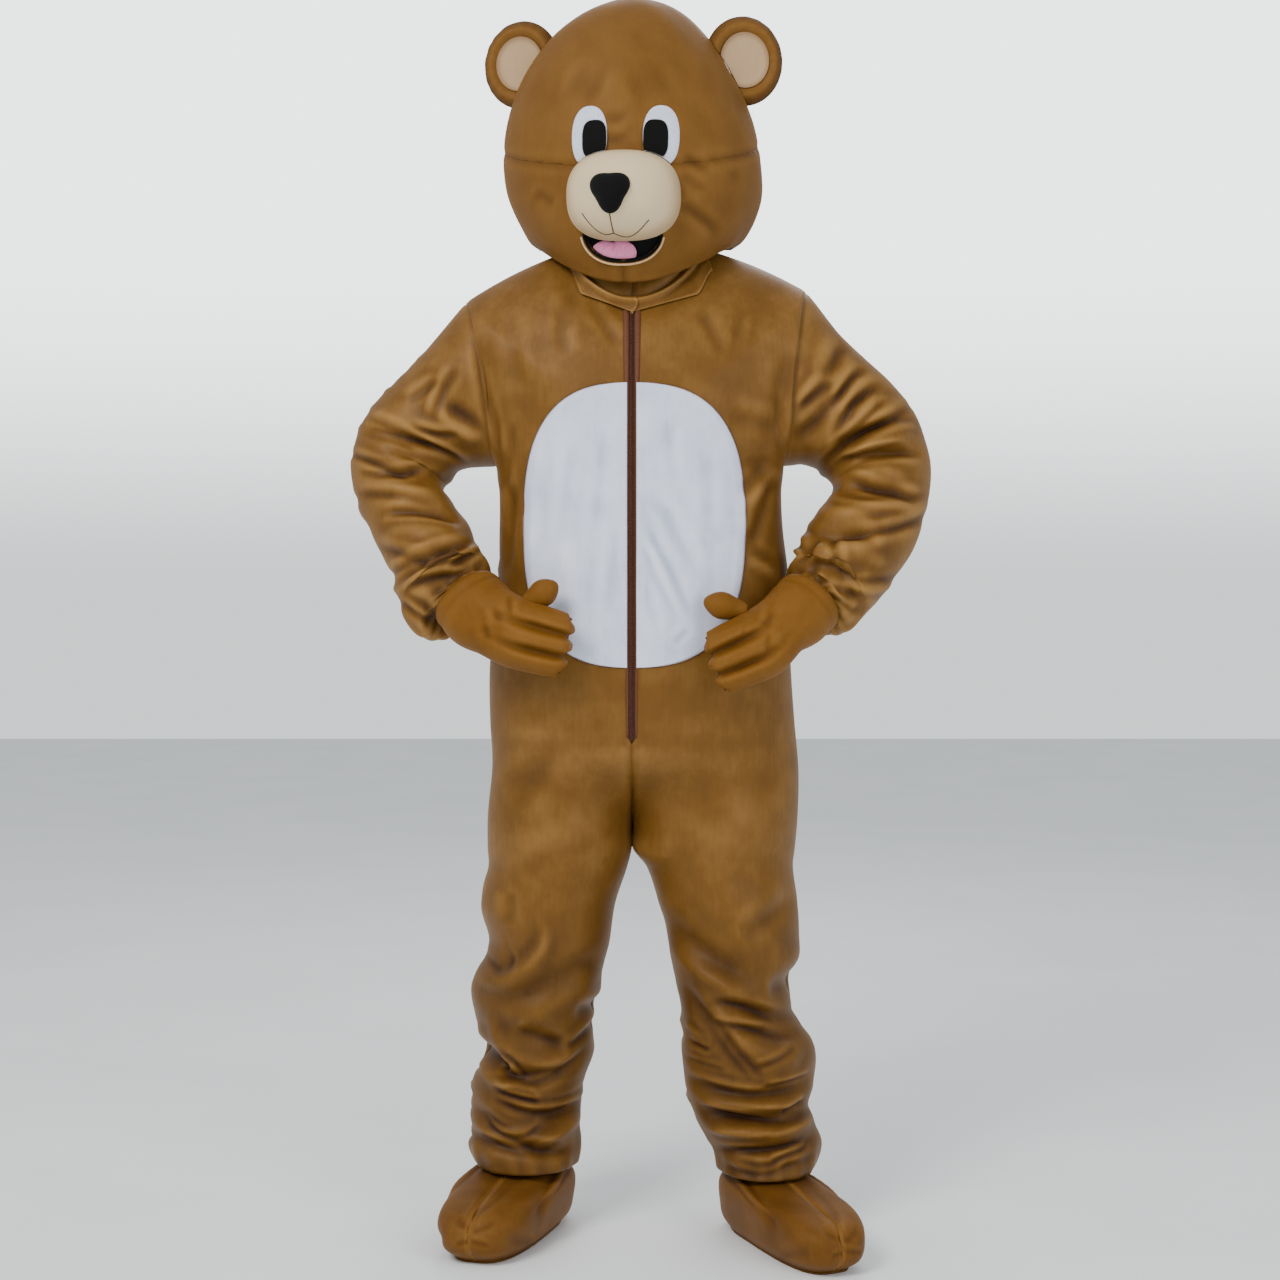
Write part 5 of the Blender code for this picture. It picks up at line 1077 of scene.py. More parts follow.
def velour(name, dark, middle, light, sheen=0.5, crush=1.0, shine=0.30, roughness=0.55):
    """Short-napped polyester velour, knitted and brushed. Its nap leans over in patches
    and streaks that catch the light. Shade is painted darker into its creases, and a
    highlight lighter onto its ridges."""
    made, tree, shader, place = blank(name)
    # Pressed patches of pile, about 60 mm across.
    patch = grain(tree, "Noise", {"Vector": place, "Scale": 17.0, "Detail": 3.0, "Roughness": 0.55})
    # Brushed streaks, 5 mm wide and 30 mm long.
    long = add_node(tree, "Mapping", {"Vector": place, "Scale": (1.0, 1.0, 0.16)}).outputs[0]
    streak = grain(tree, "Noise", {"Vector": long, "Scale": 190.0, "Detail": 3.0})
    # Painted shade in the creases and painted highlight on the ridges, from the crease attribute.
    crease = add_node(tree, "Attribute", attribute_name="crease").outputs["Fac"]
    tone = blend(tree, patch, 0.55 * crush, 0.5 - 0.355 * crush)
    tone = blend(tree, streak, 0.16 * crush, tone)
    tone = blend(tree, crease, 0.38, tone)
    stops = [(0.12, dark), (0.50, middle), (0.90, light)]
    colour = add_node(tree, "ValToRGB", {"Fac": tone}, stops)
    # The nap itself is under 1 mm; it is drawn at 2 mm, the finest that shows.
    fine = grain(tree, "Noise", {"Vector": place, "Scale": 480.0, "Detail": 3.0, "Roughness": 0.6})
    soft = add_node(tree, "Bump", {"Height": streak, "Strength": 0.20, "Distance": 0.0012})
    relief = {"Height": fine, "Strength": 0.35, "Distance": 0.0006, "Normal": soft.outputs[0]}
    looks = {
        "Base Color": colour.outputs[0],
        "Normal": add_node(tree, "Bump", relief).outputs[0],
        "Roughness": roughness,
        "Specular IOR Level": shine,
        "Specular Tint": [(1 + part) / 2 for part in linear(light)],
        "Sheen Weight": sheen,
        "Sheen Roughness": 0.35,
        "Sheen Tint": linear(light),
    }
    feed(tree, shader, looks)
    return made


def felt(name, dark, light, sheen=0.4):
    """Pressed felt: matted fibres with no direction, matt, with a faint haze."""
    made, tree, shader, place = blank(name)
    # Matted tufts about 3 mm across.
    tuft = grain(tree, "Noise", {"Vector": place, "Scale": 330.0, "Detail": 5.0, "Roughness": 0.7})
    colour = add_node(tree, "ValToRGB", {"Fac": tuft}, [(0.30, dark), (0.70, light)])
    bump = add_node(tree, "Bump", {"Height": tuft, "Strength": 0.3, "Distance": 0.0006})
    looks = {
        "Base Color": colour.outputs[0],
        "Normal": bump.outputs[0],
        "Roughness": 0.88,
        "Specular IOR Level": 0.2,
        "Sheen Weight": sheen,
        "Sheen Roughness": 0.5,
    }
    feed(tree, shader, looks)
    return made


def tape(name, dark, light):
    """Woven polyester tape: a herringbone of threads, drawn at 1.6 mm, twice as coarse
    as it is, so that it shows."""
    made, tree, shader, place = blank(name)
    threads = {"Vector": place, "Scale": 100.0, "Distortion": 1.5, "Detail": 1.0}
    weave = grain(tree, "Wave", threads, bands_direction="Z")
    colour = add_node(tree, "ValToRGB", {"Fac": weave}, [(0.2, dark), (0.8, light)])
    bump = add_node(tree, "Bump", {"Height": weave, "Strength": 0.5, "Distance": 0.0004})
    looks = {"Base Color": colour.outputs[0], "Normal": bump.outputs[0], "Roughness": 0.75}
    feed(tree, shader, looks)
    return made


def nylon(name, dark, light, roughness=0.38):
    """Moulded or spun nylon: a satin plastic, a little cloudy in the light."""
    made, tree, shader, place = blank(name)
    cloud = grain(tree, "Noise", {"Vector": place, "Scale": 600.0, "Detail": 2.0})
    colour = add_node(tree, "ValToRGB", {"Fac": cloud}, [(0.3, dark), (0.7, light)])
    feed(tree, shader, {"Base Color": colour.outputs[0], "Roughness": roughness, "IOR": 1.53})
    return made


def aged_brass(name, dull, bright):
    """Die-cast brass slider, its colour and its gloss mottled at random."""
    made, tree, shader, place = blank(name)
    wear = grain(tree, "Noise", {"Vector": place, "Scale": 900.0, "Detail": 4.0})
    colour = add_node(tree, "ValToRGB", {"Fac": wear}, [(0.35, dull), (0.65, bright)])
    rough = blend(tree, wear, 0.5, 0.15)
    feed(tree, shader, {"Base Color": colour.outputs[0], "Roughness": rough, "Metallic": 1.0})
    return made


def emulsion(name, dark, light):
    """Matt emulsion on a smooth studio floor: faint roller mottle, no gloss."""
    made, tree, shader, place = blank(name)
    mottle = grain(tree, "Noise", {"Vector": place, "Scale": 3.0, "Detail": 4.0})
    colour = add_node(tree, "ValToRGB", {"Fac": mottle}, [(0.3, dark), (0.7, light)])
    feed(tree, shader, {"Base Color": colour.outputs[0], "Roughness": 0.9})
    return made


# Each finish's maker, its colours from dark to light, and what sets it apart.
FINISHES = {
    "suit velour": (
        velour,
        ("2b1404", "6b4819", "a0773f"),
        {"sheen": 0.25, "crush": 0.6, "roughness": 0.48},
    ),
    "head velour": (
        velour,
        ("3a210b", "6c491e", "926833"),
        {"sheen": 0.3, "crush": 0.4, "shine": 0.16},
    ),
    "mitten velour": (
        velour,
        ("3a2109", "6f4816", "906430"),
        {"sheen": 0.25, "crush": 0.5, "shine": 0.15},
    ),
    "shoe velour": (
        velour,
        ("331c08", "623e13", "885e2a"),
        {"sheen": 0.25, "crush": 0.6, "shine": 0.2},
    ),
    "belly velour": (velour, ("aab2c8", "d6dcee", "f0f4ff"), {"crush": 1.1, "shine": 0.15}),
    "cream plush": (velour, ("a08058", "d8c098", "e8d6b4"), {"crush": 0.35, "shine": 0.1}),
    "ear plush": (velour, ("85654a", "b09270", "c6aa86"), {"crush": 0.5, "shine": 0.1}),
    "black felt": (felt, ("010101", "050504"), {"sheen": 0.03}),
    "white felt": (felt, ("c2c8da", "dfe4f2"), {}),
    "pink felt": (felt, ("cf6f98", "ea8fb4"), {}),
    "brown tape": (tape, ("4a200a", "74380f"), {}),
    "zip nylon": (nylon, ("2c1207", "47200d"), {}),
    "welt satin": (nylon, ("4c240a", "683611"), {"roughness": 0.75}),
    "lip binding": (nylon, ("b8905f", "dcb98c"), {"roughness": 0.6}),
    "slider brass": (aged_brass, ("6b5630", "a88c58"), {}),
    "brown thread": (nylon, ("3a2210", "553318"), {"roughness": 0.6}),
    "belly thread": (nylon, ("9a6a5c", "b98878"), {"roughness": 0.6}),
    "floor paint": (emulsion, ("f4f8f9", "fafdfe"), {}),
}


def finish(name):
    """One of the costume's finishes, made the first time it is asked for."""
    maker, colours, settings = FINISHES[name]
    return bpy.data.materials.get(name) or maker(name, *colours, **settings)


# -------------------------------------------------------------- sizes in the sidebar


class CostumeSizes(bpy.types.PropertyGroup):
    """Sizes of the costume's cloth that a maker would change."""

    crease_depth: FloatProperty(
        name="Crease Depth",
        description="How deep the small creases are pressed",
        default=1.0,
        min=0,
        max=2,
    )
    seam_depth: FloatProperty(
        name="Seam Depth",
        description="How far a seam sinks",
        default=0.0022,
        unit="LENGTH",
    )
    seam_width: FloatProperty(
        name="Seam Width",
        description="Half the width of a seam's hollow",
        default=0.006,
        unit="LENGTH",
    )
    stitch: FloatProperty(
        name="Stitch",
        description="Length of one stitch",
        default=0.0030,
        unit="LENGTH",
    )
    floor_colour: FloatVectorProperty(
        name="Backdrop",
        description="Colour of the studio's backdrop light",
        subtype="COLOR",
        default=(0.95, 0.98, 1.0),
        size=3,
        min=0,
        max=1,
    )


def sizes():
    """The sizes set in the sidebar."""
    return bpy.context.scene.costume_sizes


# --------------------------------------------------------------- the suit and collar

PANEL_COLUMNS = 68
ARMHOLE_STEPS = 62  # from the shoulder tip to the armpit, the same on a panel and a sleeve
SLEEVE_COLUMNS = 2 * ARMHOLE_STEPS
# A fold and a crease run on past their deepest part, and the cloth stands up beside them.
FOLD_STRETCH, FOLD_LIP = 1.15, 0.3
CREASE_STRETCH, CREASE_LIP = 1.35, 0.6


def suit_rows():
    """A panel's rows, from 0 at the neck to 4 at the hem, with one at the zip's foot."""
    zip_end = 2 + (ARMPIT - ZIP_BOTTOM) / (ARMPIT - CROTCH)
    return runs((1, 18), (2, ARMHOLE_STEPS), (zip_end, 50), (3, 22), (4, 144))


def seam_hollow(distance):
    """How far a seam draws the cloth in, that far from it."""
    return -sizes().seam_depth * bell(distance, sizes().seam_width)


def pressed(folds, creases, side, places, normals):
    """How far the folds and the finer creases push a wall out at each place."""
    x, z = places[..., 0], places[..., 2]
    push = 0
    for face, toward, creased in (("front", -1, side), ("back", 1, OTHER[side])):
        fine = press(creases[creased], x, z, CREASE_STRETCH, CREASE_LIP)
        broad = press(folds[side, face], x, z, FOLD_STRETCH, FOLD_LIP)
        facing = smooth((0.35 + toward * normals[..., 1]) / 0.5)
        push = push + facing * (broad + sizes().crease_depth * fine)
    return push


def gathered(along, turn):
    """How far the gathers on the elastic push a sleeve out, turn in degrees."""
    push = np.zeros(np.broadcast(along, turn).shape)
    for middle, width, start, height in GATHERS:
        off = (turn - middle + 180) % 360 - 180
        shown = smooth((along - start) / 0.08) * (1 - smooth((along - 0.96) / 0.04))
        push += height * shown * bell(off, width)
    return push


def eased(places, rows, across):
    """Rounds off a panel's breaks across the shoulder tip and the armpit."""
    at = rows[1:-1, None]
    near = bell(at - 1, 0.16) + bell(at - 2, 0.16)
    share = (0.5 * near * (1 - across[None, :] ** 8))[..., None]
    for _ in range(80):
        places[1:-1] = lerp(places[1:-1], (places[:-2] + places[2:]) / 2, share)
    return places


def suit_sheets(side):
    """The front and back panel and the sleeve of one side, on the wearer's own side."""
    rows, across = suit_rows(), np.linspace(0, 1, PANEL_COLUMNS)
    front, back = (
        Cloth(
            f"{name}_{side}",
            eased(suit_point(rows[:, None], across[None, :], face, side), rows, across),
            "suit velour",
            PLUSH,
        )
        for name, face in (("front", -1), ("back", 1))
    )
    along = runs((ELBOW, 34), (1, 126))[:, None]
    facing = (np.arange(SLEEVE_COLUMNS) * 360 / SLEEVE_COLUMNS)[None, :]
    sleeve = Cloth(f"arm_{side}", sleeve_point(along, facing, side), "suit velour", PLUSH, True)
    panels = (front, back, sleeve)
    share_normals(panels)
    pushes = [
        pressed(SUIT_FOLDS, SUIT_CREASES, side, panel.places, panel.normals) for panel in panels
    ]
    for k, panel in enumerate((front, back)):
        pushes[k] += seam_hollow(panel.reach(1)[:, -1:] - panel.reach(1))
        # The front's centre seam starts below the zip, and the hem is gathered.
        centre = np.where((rows > 2.72) | (panel is back), 1.0, 0.0)[:, None]
        pushes[k] += centre * seam_hollow(panel.reach(1))
        turn = 180 * across if panel is front else 360 - 180 * across
        pushes[k] += gathered(0.80 + 1.25 * (rows[:, None] - 3.86), turn[None, :])
    own = pressed(SLEEVE_FOLDS, SLEEVE_CREASES, side, sleeve.places, sleeve.normals)
    pushes[2] = lerp(pushes[2], own + gathered(along, facing), smooth(along / 0.08))
    pushes[2] += seam_hollow(sleeve.reach(0))
    for panel, push in zip(panels, pushes):
        before = panel.places
        panel.push(push)
        if panel is not sleeve:
            panel.places[rows <= 3, 0, 0] = before[rows <= 3, 0, 0]
        panel.settle()
    share_normals(panels)
    for panel in panels:
        # Painted shade in the creases, a painted highlight on the ridges, and the cloth painted
        # darker down the legs below the knee.
        panel.shade_and_highlight = panel.hollows() - 0.38 * smooth((0.60 - panel.places[..., 2]) / 0.26)
    return panels


class COSTUME_OT_suit(bpy.types.Operator):
    """Makes the suit's panels and sleeves"""

    bl_idname = "costume.suit"
    bl_label = "Suit"

    def execute(self, context):
        for side, sign in SIDES.items():
            nodes = (f"suit_front_{side}", f"suit_back_{side}", f"sleeve_{side}")
            for panel, node in zip(suit_sheets(side), nodes):
                sew(panel, sign, [node])
        return {"FINISHED"}


def collar_fall(side):
    """One half of the collar's fall, turned down over the neck edge."""
    along, down = np.linspace(0, 1, 61)[None, :], np.linspace(0, 1, 25)[:, None]
    far, slope, lap = COLLAR_FALLS[side]
    neck = body_point(np.zeros(90), np.linspace(0, 1, 90), -1, side)
    top_x = (SHOULDERS[side][0][0] - 0.004) * along
    top_z = np.interp(top_x, neck[:, 0], neck[:, 2]) + 0.010
    low_x = far * along
    low_z = COLLAR_POINT + slope * low_x + 0.032 * smooth((along - 0.80) / 0.20)
    x, z = lerp(top_x, low_x, down), lerp(top_z, low_z, down)
    over = smooth(down / 0.2)
    lift = 0.0045 + 0.0045 * np.sin(math.pi * down) * (1 - 0.5 * along) + 0.3 * lap
    y = suit_face(x, z, side)[..., 1] + 0.006 * (1 - over) - lift * over
    x = x - lap * np.sin(math.pi * down) ** 0.7 * (1 - smooth(along / 0.14))
    fall = Cloth(f"collar_fall_{side}", spots(x, y, z), "suit velour", PLUSH)
    if fall.normals[12, 30, 1] > 0:
        fall.normals = -fall.normals
    # A painted highlight along the lower edge and the lapping tip, added to the painted shade in
    # the creases and highlight on the ridges.
    edge_highlight = 0.5 * smooth((down - 0.90) / 0.08) + 0.4 * (lap > 0) * (along < 0.03)
    fall.shade_and_highlight = fall.hollows() + edge_highlight
    return fall


class COSTUME_OT_collar(bpy.types.Operator):
    """Makes the collar's two halves, the right one lapping over the left"""

    bl_idname = "costume.collar"
    bl_label = "Collar"

    def execute(self, context):
        for side, sign in SIDES.items():
            sew(collar_fall(side), sign)
        across = np.linspace(0, 1, 49)
        rise = np.linspace(1, 0, 19)[:, None]
        for side, sign in SIDES.items():
            front = body_point(np.zeros(49), across, -1, side)
            back = body_point(np.zeros(49), across[::-1], 1, side)[1:]
            base = np.concatenate((front, back))
            base[0, 0] = 0
            out = unit(base * (1, 1, 0))
            lean = -0.010 * rise[..., None] * out[None]
            places = base[None] + lean + spots(0 * rise, 0 * rise, COLLAR_RISE * rise)
            band = Cloth(f"collar_band_{side}", places, "suit velour", PLUSH)
            small = ruck(band.reach(1) / 0.03, rise / 0.7, 2.2)
            roll = (0.004 + 0.002 * small) * np.sin(math.pi * rise)
            band.push(roll + seam_hollow(band.reach(0)[-1:] - band.reach(0)))
            band.settle()
            # Painted shade in the creases and painted highlight on the ridges.
            band.shade_and_highlight = band.hollows()
            sew(band, sign, [f"collar_{side}"])
        return {"FINISHED"}


# ----------------------------------------------------------------- the belly and zip


class COSTUME_OT_belly(bpy.types.Operator):
    """Makes the pale belly's two halves and the stitching round them"""

    bl_idname = "costume.belly"
    bl_label = "Belly"

    def execute(self, context):
        for side, sign in SIDES.items():
            turn = np.radians(np.linspace(90, -90, 150))[:, None]
            rise = np.where(turn > 0, BELLY["up"], BELLY["down"])
            reach = BELLY[side] * power(np.cos(turn), 2 / BELLY["square"])
            height = BELLY["centre"] + rise * power(np.sin(turn), 2 / BELLY["square"])
            start = ZIP_SLOT + 0.0004
            x = lerp(start, np.maximum(reach, start + 0.0002), np.linspace(0, 1, 45)[None, :])
            places = suit_face(x, height, side)
            belly = Cloth(f"belly_half_{side}", places, "belly velour", FELT)
            folds = pressed(SUIT_FOLDS, SUIT_CREASES, side, places, belly.normals)
            belly.push(LAY_GAP + FELT + folds)
            small = ruck(places[..., 2] / 0.16, x / 0.026, 4.4)
            edge = smooth((belly.reach(1)[:, -1:] - belly.reach(1)) / 0.012)
            belly.push(0.0018 * edge * smooth(small + 0.5) - 0.0012 * (1 - edge))
            belly.push(edge * press(BELLY_CREASES[side], x, height, lip=0.6))
            belly.settle()
            # Painted shade in the creases and painted highlight on the ridges.
            belly.shade_and_highlight = belly.hollows()
            piece = sew(belly, sign, [f"belly_{side}"])
            line = belly.places[:, -1] + belly.normals[:, -1] * 0.0004
            steps = np.concatenate(([0], np.cumsum(np.linalg.norm(np.diff(line, axis=0), axis=1))))
            at = np.linspace(0, steps[-1], 2 * int(steps[-1] / sizes().stitch))
            seam, inward = (
                np.stack([np.interp(at, steps, values[:, k]) for k in range(3)], axis=1)
                for values in (line, belly.normals[:, -1])
            )
            across = np.cross(inward, unit(np.gradient(seam, axis=0)))
            zigzag = seam + across * 0.0013 * np.where(np.arange(len(at)) % 2, 1, -1)[:, None]
            zigzag[:, 0] *= sign
            name = f"belly_stitching_{side}"
            stitches = thread_piece(name, [zigzag], 0.0006, "belly thread", 4)
        return {"FINISHED"}


def zip_line(heights, depth):
    """Places along the panels' centre line."""
    front = suit_face(np.full(len(heights), ZIP_SLOT + 0.001), heights, "left")
    return spots(0 * heights, front[:, 1] + depth, heights)


def add_block(bm, place, extent, round_off, segments):
    """Adds a block with rounded edges."""
    matrix = Matrix.Translation(place) @ Matrix.Diagonal((*extent, 1))
    made = bmesh.ops.create_cube(bm, size=1.0, matrix=matrix)
    edges = {edge for vert in made["verts"] for edge in vert.link_edges}
    bmesh.ops.bevel(
        bm,
        geom=list(edges),
        offset=round_off,
        affect="EDGES",
        segments=segments,
        profile=0.5,
        material=-1,
    )


class COSTUME_OT_zip(bpy.types.Operator):
    """Makes the zip: two woven tapes, its coil and the slider"""

    bl_idname = "costume.zip"
    bl_label = "Zip"

    def execute(self, context):
        heights = np.linspace(NECK_FRONT, ZIP_BOTTOM, 160)
        middle = zip_line(heights, PLUSH + LAY_GAP)
        for side, sign in SIDES.items():
            across = np.linspace(0.0004, ZIP_TAPE, 9)
            places = middle[:, None] + spots(across, 0 * across, 0 * across)[None]
            half = Cloth(f"tape_{side}", places, "brown tape", ZIP_TAPE_WALL)
            half.normals = np.broadcast_to((0.0, -1.0, 0.0), places.shape).copy()
            sew(half, sign, [f"zip_tape_{side}"])
            welt = np.linspace(NECK_FRONT - 0.012, ZIP_BOTTOM + 0.010, 90)
            thick = lerp(WELT_FOOT, WELT_TOP, smooth((welt - 1.12) / 0.26) ** 1.5)
            line = zip_line(welt, 0.3 * thick)
            line[:, 0] = sign * (ZIP_SLOT - 0.001 + 0.6 * thick)
            thread_piece(f"zip_welt_{side}", [line], thick, "welt satin", 14)
        bm = bmesh.new()
        top = NECK_FRONT - SLIDER
        rows = np.arange(top, ZIP_BOTTOM + 0.004, -TOOTH_PITCH)
        for k, (_, y, z) in enumerate(zip_line(rows, PLUSH + LAY_GAP - 0.0022)):
            x = 0.0008 if k % 2 else -0.0008
            add_block(bm, (x, y, z - CARRY), TOOTH, 0.0004, 1)
        finish_piece("zip_teeth", bm, "zip nylon", ["zip_coil"])
        bm = bmesh.new()
        low, high = (Vector(corner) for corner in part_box("zip_slider"))
        centre, size = (low + high) / 2, high - low
        add_block(bm, centre, (size.x * 0.98, size.y * 0.96, size.z * 0.98), 0.00128, 3)
        pull = centre + Vector((0, -size.y / 2 - 0.0012, -0.004))
        add_block(bm, pull, (0.0052, 0.0012, 0.0150), 0.0004, 3)
        finish_piece("slider", bm, "slider brass", ["zip_slider"])
        return {"FINISHED"}


# ------------------------------------------------------- the mittens and shoe covers


class COSTUME_OT_mittens(bpy.types.Operator):
    """Makes both mittens: back, palm and thumb"""

    bl_idname = "costume.mittens"
    bl_label = "Mittens"

    def execute(self, context):
        along = np.sin(np.linspace(0, math.pi / 2, 66)) ** 0.9
        breadth = np.sin(np.linspace(math.pi / 2, -math.pi / 2, 61))[None, :]
        for side, sign in SIDES.items():
            back, palm = (
                Cloth(
                    f"mitt_{name}_{side}",
                    mitten_point(along[:, None], breadth, face, side),
                    "mitten velour",
                    PLUSH,
                )
                for name, face in (("back", 1), ("palm", -1))
            )
            share_normals((back, palm))
            for half in (back, palm):
                x, z = half.places[..., 0], half.places[..., 2]
                cuff = 0.003 * bell(half.reach(0) - 0.006, 0.006)
                edge = 0.0008 * np.exp(-((1 - np.abs(breadth)) / 0.02))
                if half is back:
                    lines = bell(np.abs(breadth) - 1 / 3, 0.06)
                    cuff = cuff - 0.0006 * lines * smooth((along[:, None] - 0.42) / 0.1)
                    cuff = cuff + 0.55 * press(MITTEN_CREASES[side], x, z)
                half.push(cuff - edge)
                half.settle()
            share_normals((back, palm))
            for half, name in ((back, "back"), (palm, "palm")):
                # Painted shade in the creases and painted highlight on the ridges.
                half.shade_and_highlight = 0.6 * half.hollows(0.006)
                sew(half, sign, [f"mitten_{side}_{name}"])
            self.thumb(side, sign)
        return {"FINISHED"}

    def thumb(self, side, sign):
        """A plump thumb, open where it is sewn to the mitten."""
        root, tip = THUMBS[side]
        length = (tip - root).length
        bm = bmesh.new()
        depth = bm.verts.layers.float.new("crease")
        bmesh.ops.create_uvsphere(bm, u_segments=40, v_segments=40, radius=1.0)
        root_end = [vert for vert in bm.verts if vert.co.z < -0.8]
        bmesh.ops.delete(bm, geom=root_end, context="VERTS")
        spin = (tip - root).normalized().to_track_quat("Z", "Y").to_matrix()
        for vert in bm.verts:
            up = vert.co.z
            wide = THUMB_RADIUS * (1.0 + 0.10 * math.sin(4 * up) - 0.12 * max(-up, 0))
            rise = length / 2 * (1 + up)
            place = root + spin @ Vector((vert.co.x * wide, vert.co.y * wide, rise))
            vert[depth] = 0.1
            vert.co = place - DOWN
        mirror(bm, sign)
        bmesh.ops.recalc_face_normals(bm, faces=bm.faces)
        name, node = f"thumb_{side}", f"mitten_{side}_thumb"
        finish_piece(name, bm, "mitten velour", [node], wall=PLUSH)


class COSTUME_OT_shoes(bpy.types.Operator):
    """Makes both shoe covers: outer half, inner half and sole"""

    bl_idname = "costume.shoes"
    bl_label = "Shoe Covers"

    def execute(self, context):
        foot = SOLE + SEAM_GAP
        heights = np.concatenate((np.linspace(foot, 0.09, 44), np.linspace(0.092, 0.145, 16)))
        turns = np.concatenate(
            (np.linspace(0, 24, 19), np.linspace(26, 90, 30), np.linspace(93, 180, 26))
        )
        for side, sign in SIDES.items():
            turn = Matrix.Translation(ANKLES[side]) @ Matrix.Rotation(FOOT_YAW[side], 4, "Z")
            for half, facing in (("outer", sign), ("inner", -sign)):
                places = shoe_point(heights[:, None], turns[None, :], side)
                cloth = Cloth(f"cover_{half}_{side}", places, "shoe velour", SHOE_WALL)
                cloth.normals[:, [0, -1], 0] = 0
                cloth.normals = unit(cloth.normals)
                across = cloth.reach(1)
                shift = 0.0 if facing > 0 else 0.015
                push = 0.4 * seam_hollow(across) + seam_hollow(across[:, -1:] - across)
                push += press(SHOE_CREASES, across + shift, places[..., 2], lip=0.5)
                cloth.push(push * smooth((places[..., 2] - SOLE) / 0.01))
                cloth.settle()
                # Painted shade in the creases and painted highlight on the ridges, and the cloth
                # painted lighter along the front seam.
                front_seam_band = bell(across, 0.0045)
                cloth.shade_and_highlight = cloth.hollows() * (1 - front_seam_band) + 0.9 * front_seam_band
                sew(cloth, facing, [f"shoe_{side}_{half}"], turn=turn)
            rim = shoe_point(np.array(foot), np.concatenate((turns, turns[-2:0:-1])), side)
            rim[len(turns) :, 0] *= -1
            bm = bmesh.new()
            bmesh.ops.create_circle(bm, cap_ends=True, segments=len(rim), radius=1.0)
            for vert, place in zip(bm.verts, rim):
                vert.co = Vector((place[0], place[1], -CARRY))
            made = bmesh.ops.extrude_face_region(bm, geom=list(bm.faces))
            raised = [item for item in made["geom"] if isinstance(item, bmesh.types.BMVert)]
            bmesh.ops.translate(bm, verts=raised, vec=(0, 0, SOLE))
            bmesh.ops.recalc_face_normals(bm, faces=bm.faces)
            name, node = f"sole_{side}", f"shoe_{side}_sole"
            finish_piece(name, bm, "shoe velour", [node], turn)
        return {"FINISHED"}


# ----------------------------------------------------------------- the head and ears


